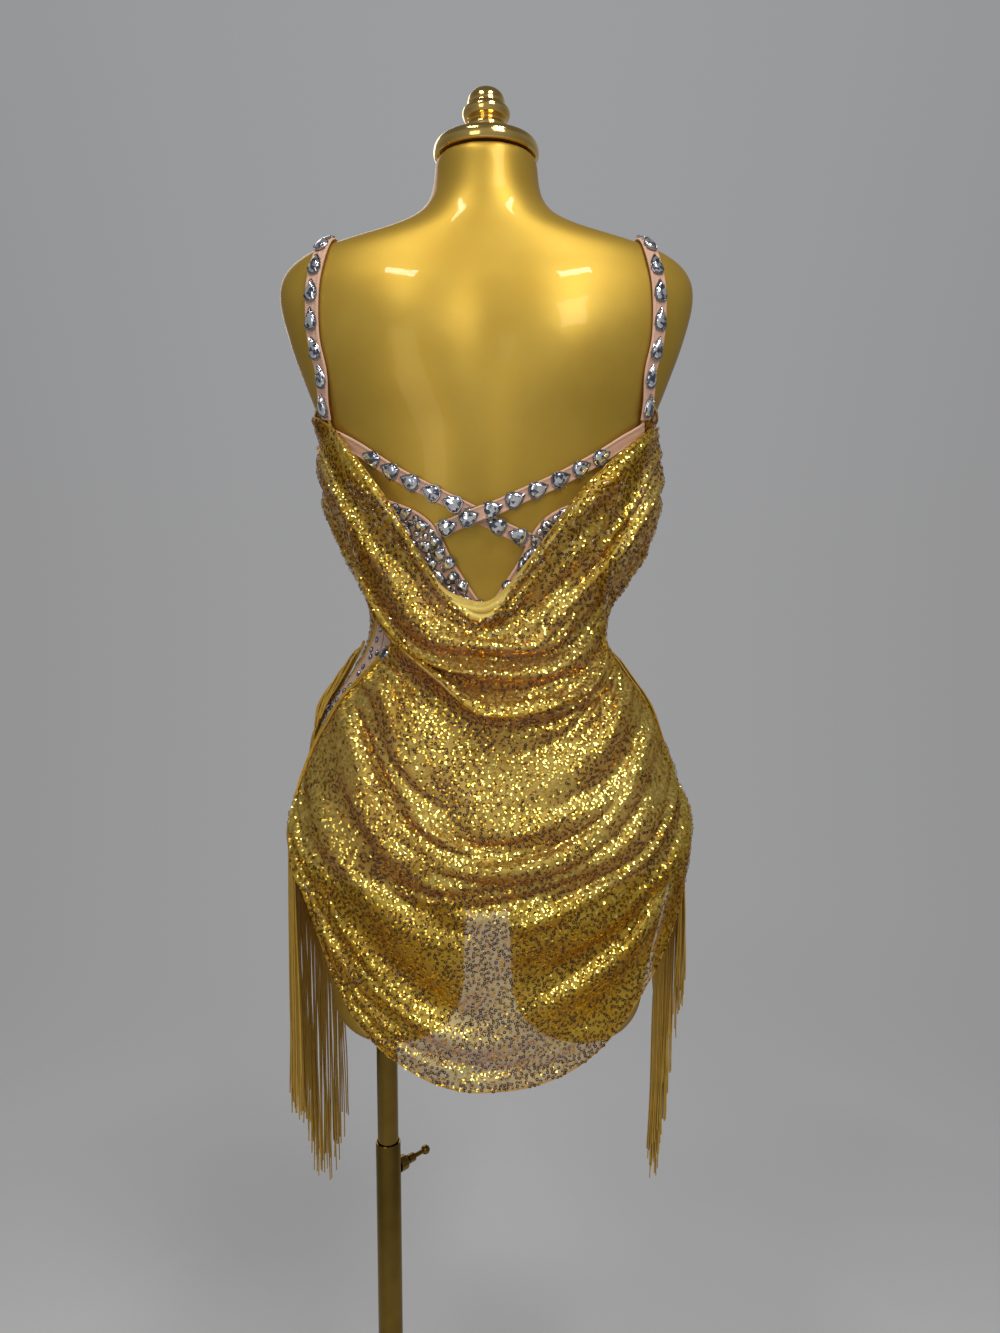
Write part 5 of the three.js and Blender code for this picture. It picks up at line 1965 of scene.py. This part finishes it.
@dataclass
class Fringe:
    """Twisted cords that hang from a ribbed tape."""

    form: DressForm
    name: str
    node: str
    tape: Array
    outs: Array
    strands: int
    cord: float = 0.85
    tape_height: float = 9.0
    tape_thickness: float = 2.2
    margin: float = 0.015

    def roots(self) -> tuple[Array, Array]:
        """Return where the cords leave the tape, and the way out there.

        Returns:
            The points, and unit directions out from the body.
        """
        shares = np.linspace(self.margin, 1 - self.margin, self.strands)
        places = shares * (len(self.tape) - 1)
        order = np.arange(len(self.tape))
        root = np.stack([np.interp(places, order, self.tape[:, k]) for k in range(3)], -1)
        out = np.stack([np.interp(places, order, self.outs[:, k]) for k in range(3)], -1)
        return root, unit(out)

    def tape_shape(self) -> Shape:
        """Return the tape with fine ribs across it.

        Returns:
            The tape.
        """
        route = Route(self.tape)
        count = int(route.length / 0.9)
        shares = np.linspace(0, 1, count + 1)
        middle = route.at(shares)
        places = shares * (len(self.outs) - 1)
        order = np.arange(len(self.outs))
        out = unit(np.stack([np.interp(places, order, self.outs[:, k]) for k in range(3)], -1))
        across = unit(np.cross(slopes_of(middle), out))
        rib = np.where(np.arange(count + 1) % 2 == 0, 0.35, -0.1)[:, None]
        columns = []
        inner = []
        for share, rise in ((-0.5, -0.7), (-0.4, 0.0), (-0.1, 0.1), (0.1, 0.1), (0.4, 0.0), (0.5, -0.7)):
            edge = middle + across * share * self.tape_height
            columns.append(edge + out * (self.tape_thickness / 2 + rise + rib * (abs(share) < 0.45)))
            inner.append(edge - out * self.tape_thickness / 2)
        return shell(np.stack(columns, 1), np.stack(inner, 1))

    def build(self, paths: Array, cords: bpy.types.Material) -> None:
        """Make the tape and its cords along the given paths.

        Args:
            paths: Points of each cord, cords x points x 3.
            cords: Finish of the cords.
        """
        shape = Shape.joined([self.tape_shape(), tubes(paths, self.cord, 5, 0.8)])
        piece = mesh_piece(self.name, shape, cords, 60)
        dress(piece, "dressed_form", "fringe_cord", self.node)


@dataclass
class HemFringe:
    """Long fringe beside the hem, hung from a tape that runs down from the hip."""

    form: DressForm
    side: str
    tape: tuple[tuple[float, float, float], ...]
    ends: tuple[float, ...]
    strands: int = 125
    sway: float = 4.5
    spread: float = 22.0

    def build(self, cords: bpy.types.Material) -> None:
        """Make the fringe.

        Args:
            cords: Finish of the cords.
        """
        route = Route(self.tape)
        tape = route.at(np.linspace(0, 1, 60))
        outs = unit(tape * (1, 1, 0))
        fringe = Fringe(self.form, f"hem_fringe_{self.side}", f"fringe_hem_{self.side}", tape, outs,
                        self.strands)
        root, _ = fringe.roots()
        rng = np.random.default_rng(17)
        shares = np.linspace(0, 1, self.strands)
        ends = Track(np.linspace(0, 1, len(self.ends)), self.ends)(shares)
        ends += rng.uniform(-1, 1, self.strands) * self.spread
        turn = rng.uniform(0, 2 * math.pi, self.strands)
        away = self.sway * np.stack([np.cos(turn), np.sin(turn)], -1)
        steps = np.linspace(0, 1, 14)[None, :, None]
        drop = (ends - root[:, 2])[:, None, None] * steps
        wave = np.sin(steps * rng.uniform(4, 9, (self.strands, 1, 1))
                      + turn[:, None, None]) - np.sin(turn)[:, None, None]
        side = away[:, None] * steps + 0.9 * wave * steps * np.stack([np.cos(turn), np.sin(turn)], -1)[:,
                                                                                                       None]
        paths = root[:, None] + np.concatenate([side, drop], -1)
        fringe.build(paths, cords)


@dataclass
class HipFringe:
    """Short fringe over the hip, which falls down the side of the body."""

    form: DressForm
    side: int
    line: tuple[tuple[float, float], ...]
    lengths: tuple[float, ...]
    strands: int = 80
    steps: int = 12
    bulge: float = 9.0

    def build(self, cords: bpy.types.Material) -> None:
        """Make the fringe.

        Args:
            cords: Finish of the cords.
        """
        word = "left" if self.side > 0 else "right"
        lift = OVER_PANEL + 1.1 + 1.5
        rising = self.line[::-1]
        z = np.linspace(self.line[0][0], self.line[-1][0], 40)
        degrees = self.side * Track(*zip(*rising))(z)
        tape = self.form.lifted(degrees, z, lift)
        outs = self.form.normals(degrees, z)
        fringe = Fringe(self.form, f"hip_fringe_{word}", f"fringe_hip_{word}", tape, outs, self.strands)
        root, out = fringe.roots()
        downward = unit(np.cross(slopes_of(root), out))
        downward *= np.where(downward[:, 2:] > 0, -1, 1)
        root = root + downward * 3.2
        rng = np.random.default_rng(29)
        lengths = Track(np.linspace(0, 1, len(self.lengths)), self.lengths)(np.linspace(0, 1, self.strands))
        lengths *= 0.9 + 0.1 * rng.uniform(-1, 1, self.strands)
        path = [root]
        loose = self.bulge * rng.uniform(0.1, 1, self.strands)
        for k in range(1, self.steps + 1):
            before = path[-1]
            share = k / self.steps
            z = root[:, 2] - lengths * share
            reach = self.form.reach(before[:, 1], z) + lift + 2 + loose * math.sin(math.pi * share ** 0.6)
            x = self.side * np.maximum(self.side * before[:, 0] - 0.5 * loose, reach)
            y = before[:, 1] + rng.normal(scale=0.5, size=self.strands)
            path.append(np.stack([x, y, z], -1))
        fringe.build(np.stack(path, 1), cords)


@dataclass
class EdgeCords:
    """Loose cords of the left hip fringe that lie along the drape's edge."""

    drape: Drape
    places: tuple[float, ...] = (0.962, 0.970, 0.978, 0.986, 0.992, 0.997)
    first_row: float = 8.4
    radius: float = 0.8
    lift: float = 1.5
    waver: float = 0.9

    def build(self, cords: bpy.types.Material) -> None:
        """Make the cords.

        Args:
            cords: Finish of the cords.
        """
        rows = np.linspace(self.first_row, self.drape.last - 0.2, 90)
        across = np.linspace(0.90, 1.0, 41)
        cloth = self.drape.grid(rows, across)
        outs = outward(cloth)
        paths = []
        for number, place in enumerate(self.places):
            drift = place - 0.006 * (1
                                     + np.sin(0.9 * rows + 1.9 * number)) * ease((rows - self.first_row) / 2)
            column = np.clip((drift - 0.90) / 0.10 * 40, 0, 39.99)
            low = column.astype(int)
            share = (column - low)[:, None]
            order = np.arange(len(rows))
            line = cloth[order, low] * (1 - share) + cloth[order, low + 1] * share
            rise = self.lift + self.waver * (1 + np.sin(1.7 * rows + 2.3 * number)) / 2
            paths.append(line + outs[order, low] * (rise + 0.4 * (number % 2))[:, None])
        piece = mesh_piece("edge_cords", tubes(np.array(paths), self.radius, 6, 0.9), cords, 60)
        dress(piece, "dressed_form", "fringe_cord")


# Whole garment

@dataclass
class Finishes:
    """Every material, made once."""

    lacquer: bpy.types.Material
    brass: bpy.types.Material
    pole: bpy.types.Material
    silver: bpy.types.Material
    pewter: bpy.types.Material
    cloth: bpy.types.Material
    facing: bpy.types.Material
    piping: bpy.types.Material
    sequin: bpy.types.Material
    skin: bpy.types.Material
    elastic: bpy.types.Material
    thread: bpy.types.Material
    crystal: bpy.types.Material
    smoky: bpy.types.Material
    cords: bpy.types.Material

    @classmethod
    def all(cls) -> "Finishes":
        """Return the finishes of the whole object.

        Returns:
            The finishes.
        """
        return cls(
            lacquer=Lacquer().material(),
            brass=Metal("polished_brass", (0.90, 0.64, 0.22), (0.78, 0.50, 0.13), 0.03).material(),
            pole=Metal("satin_bronze", (0.25, 0.16, 0.035), (0.15, 0.09, 0.015), 0.08).material(),
            silver=Metal("claw_silver", (0.50, 0.50, 0.53), (0.26, 0.26, 0.30), 0.12, axis="X").material(),
            pewter=Metal("dark_cup", (0.22, 0.22, 0.26), (0.10, 0.10, 0.13), 0.15, axis="X").material(),
            # The three colours of each sheer cloth are painted light: lit top, half-shaded side and shaded
            # underside.
            cloth=SheerCloth("sequin_ground_mesh", (0.84, 0.61, 0.10), (0.68, 0.38, 0.014),
                             (0.56, 0.20, 0.001),
                             0.42, 0.35).material(),
            facing=SheerCloth("cowl_facing_mesh", (0.86, 0.66, 0.16), (0.74, 0.50, 0.09), (0.60, 0.32, 0.03),
                              0.85).material(),
            piping=Fabric("gold_binding", (0.72, 0.42, 0.05), (0.42, 0.21, 0.02), 0.8).material(),
            sequin=SequinFoil().material(),
            skin=Fabric("skin_toned_mesh", (0.66, 0.46, 0.37), (0.54, 0.36, 0.28), 1.0, 0.1).material(),
            elastic=Fabric("peach_elastic", (0.80, 0.50, 0.36), (0.64, 0.36, 0.24), 1.1, 0.14).material(),
            thread=Fabric("peach_thread", (0.90, 0.64, 0.50), (0.72, 0.46, 0.34), 0.4, 0.05, 0.5).material(),
            crystal=Crystal().material(),
            smoky=Crystal("smoky_glass", (0.46, 0.50, 0.60), (0.12, 0.14, 0.20)).material(),
            cords=Fabric("mustard_cord", (0.72, 0.45, 0.05), (0.32, 0.17, 0.008), 0.7, 0.12, 0.34,
                         0.0).material())


SHOULDER_STATIONS = (
    Station(138, 1224, 1, OVER_PANEL), Station(139, 1231, 1, OVER_PANEL), Station(140, 1240, 1, OVER_PANEL),
    Station(142, 1262, 1, BODY_GAP),
    Station(148, 1290, 1, BODY_GAP), Station(149, 1335, 1, BODY_GAP), Station(144, 1366, 1, BODY_GAP),
    Station(141, 1380, 1, BODY_GAP), Station(141, 1380, -1, BODY_GAP), Station(139, 1362, -1, BODY_GAP),
    Station(133, 1325, -1, BODY_GAP), Station(124, 1290, -1, BODY_GAP),
    Station(119, 1272, -1, BODY_GAP + 0.9),
    Station(117, 1261, -1, OVER_PANEL), Station(115, 1250, -1, OVER_PANEL))
UNDER_STATIONS = (
    Station(135, 1211, 1, OVER_PANEL), Station(129, 1208, 1, OVER_PANEL), Station(112, 1197, 1, BODY_GAP),
    Station(76, 1173, 1, BODY_GAP), Station(36, 1152, 1, BODY_GAP), Station(8, 1138, 1, BODY_GAP),
    Station(-19, 1124, 1, BODY_GAP), Station(-36.5, 1116.5, 1, BODY_GAP))
OVER_STATIONS = (
    Station(41, 1124.5, 1, BODY_GAP), Station(26, 1130, 1, 4), Station(8, 1138, 1, 9.4),
    Station(-12, 1145, 1, 4),
    Station(-32, 1154, 1, BODY_GAP), Station(-59, 1166, 1, BODY_GAP), Station(-98, 1188, 1, BODY_GAP),
    Station(-118, 1202, 1, BODY_GAP + 0.6), Station(-129, 1210, 1, OVER_PANEL),
    Station(-137, 1216, 1, OVER_PANEL))


@dataclass
class Bodysuit:
    """The garment: panels, drape, straps, bands, sequins and fringe."""

    form: DressForm
    finishes: Finishes

    def front(self) -> Panel:
        """Return the front panel's cut.

        Returns:
            The cut.
        """
        return Panel(self.form, "front_cloth", 90, 70,
                     lambda u, z: Edge.SIDE.at(z) + (360 - 2 * Edge.SIDE.at(z)) * u,
                     lambda degrees: Edge.NECK.at(folded(degrees)),
                     lambda degrees: Edge.LEG.at(folded(degrees)))

    def seat(self) -> Panel:
        """Return the seat panel's cut.

        Returns:
            The cut.
        """
        return Panel(self.form, "seat_mesh", 50, 34, lambda u, z: (Edge.INSET_BACK.at(z) - 0.4) * (2 * u - 1),
                     lambda degrees: Edge.BAND.at(folded(degrees)) - 47.9,
                     lambda degrees: Edge.LEG.at(folded(degrees)))

    def panels(self) -> None:
        """Make the front, seat and gusset."""
        front = self.front()
        cloth = dress(front.cloth(self.finishes.cloth), "dressed_form", "sequin_mesh", "front_panel")
        binding = mesh_piece("front_binding", front.binding(1.3, ["top", "bottom", "first", "last"]),
                             self.finishes.piping)
        dress(binding, "dressed_form", "sequin_mesh")
        seat = self.seat()
        lining = dress(seat.cloth(self.finishes.skin), "dressed_form", "skin_mesh", "seat_panel")
        self.gusset()

    def gusset(self) -> None:
        """Make the gusset that joins the front's point to the seat under the form."""
        top = 806 - SEAM_GAP
        corner = FORM_BOTTOM + 3
        front = float(self.form.skin(180, FORM_BOTTOM)[1])
        back = float(self.form.skin(0, FORM_BOTTOM)[1])
        across = np.linspace(-15, 15, 9)

        def row(where: str, lift: float, place: float) -> Array:
            """Return one row of points on the skin or under the form.

            Args:
                where: front, under or back.
                lift: Distance from the form.
                place: Height on the skin, or depth under the form.

            Returns:
                The points.
            """
            if where == "under":
                return np.stack([across, np.full(9, place), np.full(9, FORM_BOTTOM - lift)], -1)
            side = 1 if where == "back" else -1
            return self.form.lifted(self.form.degrees_at(across, np.full(9, place), side), np.full(9, place),
                                    lift)

        stations = [("front", top), ("front", corner), ("under", front + CLOTH), ("under", front + 30),
                    ("under", 0.0),
                    ("under", back - 30), ("under", back - CLOTH), ("back", corner), ("back", top)]
        grids = []
        for lift in (BODY_GAP + CLOTH - 0.3, BODY_GAP + 0.3):
            lines = np.array([row(where, lift, place) for where, place in stations])
            routes = [Route(lines[:, k]).at(np.linspace(0, 1, 60)) for k in range(9)]
            grids.append(np.stack(routes, axis=1))
        gusset = mesh_piece("gusset_cloth", shell(*grids), self.finishes.skin, 60)
        dress(gusset, "dressed_form", "skin_mesh", "crotch_gusset")

    def straps(self) -> None:
        """Make the shoulder straps and the crossed back straps."""
        pear = Stone(Cut.PEAR, 18.5, 13.0, 3.8)
        drop = Stone(Cut.PEAR, 17.0, 15.2, 3.6)
        f = self.finishes
        straps = [
            Strap(self.form, "shoulder_strap_left_elastic", "shoulder_strap_left", 14.5, 25, pear,
                  SHOULDER_STATIONS),
            Strap(self.form, "shoulder_strap_right_elastic", "shoulder_strap_right", 14.5, 25, pear,
                  SHOULDER_STATIONS, mirror=-1),
            Strap(self.form, "cross_strap_under_elastic", "cross_strap_under", 12.5, 21, drop, UNDER_STATIONS,
                  bare_below=0.2),
            Strap(self.form, "cross_strap_over_elastic", "cross_strap_over", 12.5, 21, drop, OVER_STATIONS,
                  bare_above=0.8)]
        for strap in straps:
            strap.build(f.elastic, f.thread, f.crystal, f.silver)

    def trims(self) -> None:
        """Make the back bands and the side insets."""
        f = self.finishes
        for side in (1, -1):
            Band(self.form, side).build(f.elastic, f.elastic, f.crystal, f.silver)
            Inset(self.form, side).build(f.skin, f.smoky, f.pewter)

    def gather_crystal(self, drape: Drape) -> None:
        """Set the large crystal where the skirt is gathered at the left of the waist.

        Args:
            drape: The drape.
        """
        near = drape.grid(np.linspace(8.6, 9.0, 5), np.linspace(0.86, 0.98, 5))
        out = unit(outward(near)[2, 2] + (0, 0.7, 0))
        place = near[2, 2] + out * 1.2
        setting = Setting()
        setting.add(Stone(Cut.PEAR, 14.0, 11.0, 3.8), place[None],
                    frames_of(np.array([[0.3, 0, 1.0]]), out[None]))
        setting.build("gather", self.finishes.crystal, self.finishes.silver, "sequin_mesh")

    def fringes(self, drape: Drape) -> None:
        """Make the four fringes and the cords that lie along the drape.

        Args:
            drape: The drape.
        """
        cords = self.finishes.cords
        EdgeCords(drape).build(cords)
        HemFringe(self.form, "left",
                  ((177, 55, 861), (190.5, 18, 842), (193.5, -8, 812), (188, -34, 760), (171, -58, 702),
                   (155, -72, 664)),
                  (600, 560, 540, 450, 490)).build(cords)
        HemFringe(self.form, "right",
                  ((-193.4, -8, 856), (-195, -17, 830), (-192, -25, 796), (-182, -36, 735), (-174, -46, 680),
                   (-180, -52, 618)),
                  (700, 640, 520, 470, 455)).build(cords)
        HipFringe(self.form, 1, ((1020, 81.5), (990, 89), (958, 100), (928, 111), (904, 119)),
                  (75, 60, 50, 90, 140)).build(cords)
        HipFringe(self.form, -1, ((1012, 102), (985, 107), (955, 114), (925, 123), (904, 131)),
                  (150, 150)).build(cords)

    def sequins(self, drape: Drape) -> None:
        """Sew the ring sequins over the drape and the front panel.

        Args:
            drape: The drape.
        """
        work = SequinWork()
        rows = np.linspace(0.1, drape.last - 0.03, 470)
        across = np.linspace(-0.995, 0.995, 380)
        middle = drape.grid(rows, across)
        normals = outward(middle)
        bare = rows[:, None] < drape.facing_depth(across)[None]
        sewn = work.sew(middle + normals * drape.thickness / 2, normals, bare)
        for number, shape in enumerate(work.split(sewn, 4)):
            piece = mesh_piece(f"drape_sequins_{number + 1}", shape, self.finishes.sequin, None)
            dress(piece, "dressed_form", "sequin_mesh")
        front = self.front().grid(PANEL_TOP - 0.3, 300, 280)
        shape = SequinWork(wave=7.2).sew(front, outward(front))
        piece = mesh_piece("front_sequins", shape, self.finishes.sequin, None)
        dress(piece, "dressed_form", "sequin_mesh")

    def build(self) -> None:
        """Make the whole garment."""
        drape = Drape(self.form)
        self.panels()
        drape.build(self.finishes.cloth, self.finishes.facing, self.finishes.piping)
        self.straps()
        self.trims()
        self.gather_crystal(drape)
        self.fringes(drape)
        self.sequins(drape)


# Studio

@dataclass(frozen=True)
class Lamp:
    """Rectangular soft light that looks at a point."""

    name: str
    place: tuple[float, float, float]
    size: tuple[float, float]
    power: float
    colour: Colour = (1.0, 0.98, 0.95)
    target: tuple[float, float, float] = (0.0, 0.0, 1.0)


@dataclass
class Studio:
    """Pale floor, soft lights and the camera."""

    camera_place: tuple[float, float, float] = (-0.0124, 0.882, 1.091)
    camera_pitch: float = 6.0
    focal_pixels: float = 924.0
    frame_height: float = 1333.0
    sensor: float = 36.0
    sky: tuple[tuple[float, Colour], ...] = (
        (0.0, (0.33, 0.33, 0.335)), (0.50, (0.33, 0.335, 0.345)), (0.70, (0.17, 0.17, 0.175)),
        (1.0, (0.13, 0.13, 0.135)))
    dim_sides: float = 0.5
    lamps: tuple[Lamp, ...] = (
        Lamp("key_light", (-0.9, 1.7, 2.7), (0.8, 0.8), 18),
        Lamp("fill_light", (0.8, 1.9, 1.45), (0.7, 1.5), 6),
        Lamp("ceiling_light_left", (0.55, 0.75, 2.75), (0.40, 0.12), 7),
        Lamp("ceiling_light_right", (-0.55, 0.75, 2.75), (0.40, 0.12), 7),
        Lamp("front_light", (0.9, -2.2, 2.3), (1.4, 1.4), 12))

    def build(self, floor_finish: bpy.types.Material) -> None:
        """Make the floor, the lights, the sky and the camera.

        Args:
            floor_finish: Finish of the floor.
        """
        corners = np.array([[(-9000, -9000, -0.5), (9000, -9000, -0.5)],
                            [(-9000, 9000, -0.5), (9000, 9000, -0.5)]])
        floor = mesh_piece("studio_floor", surface(corners[::-1]), floor_finish)
        for lamp in self.lamps:
            self.light(lamp)
        world = bpy.data.worlds.new("studio_sky")
        self.shade_sky(world)
        scene = bpy.context.scene
        scene.view_settings.view_transform = "Standard"
        scene.world = world
        data = bpy.data.cameras.new("camera")
        data.sensor_width = self.sensor
        data.lens = self.focal_pixels / self.frame_height * self.sensor
        data.clip_start = 0.02
        camera = bpy.data.objects.new("camera", data)
        camera.location = self.camera_place
        camera.rotation_euler = (math.radians(90 - self.camera_pitch), 0, math.pi)
        scene.collection.objects.link(camera)
        scene.camera = camera

    def shade_sky(self, world: bpy.types.World) -> None:
        """Shade the sky from the horizon up, a little dimmer to either side.

        Args:
            world: The world that gets the sky.
        """
        world.use_nodes = True
        net = SkyNet(world)
        place = net.node("ShaderNodeTexCoord", {}, {}, "Generated")
        up = net.node("ShaderNodeSeparateXYZ", {}, {0: place}, "Z")
        side = net.node("ShaderNodeSeparateXYZ", {}, {0: place}, "X")
        tone = net.node("ShaderNodeValToRGB", {"stops": self.sky}, {0: up})
        net.feed(net.shader.inputs["Color"], tone)
        net.feed(net.shader.inputs["Strength"], 1 - side * side * self.dim_sides)

    def light(self, lamp: Lamp) -> None:
        """Add one area light.

        Args:
            lamp: The lamp.
        """
        data = bpy.data.lights.new(lamp.name, "AREA")
        data.shape = "RECTANGLE"
        data.size, data.size_y = lamp.size
        data.energy = lamp.power
        data.color = lamp.colour
        light = bpy.data.objects.new(lamp.name, data)
        place = Vector(lamp.place)
        light.location = place
        light.rotation_euler = (Vector(lamp.target) - place).to_track_quat("-Z", "Y").to_euler()
        bpy.context.scene.collection.objects.link(light)


def main() -> None:
    """Load the frame and build the studio, the form on its stand and the garment."""
    logging.basicConfig(level=logging.INFO, format="%(message)s")
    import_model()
    Studio().build(Plain().material())
    finishes = Finishes.all()
    form = DressForm()
    form.build(finishes.lacquer)
    Stand().build(finishes.brass, finishes.pole)
    Bodysuit(form, finishes).build()
    bpy.context.view_layer.update()


if __name__ == "__main__":
    main()
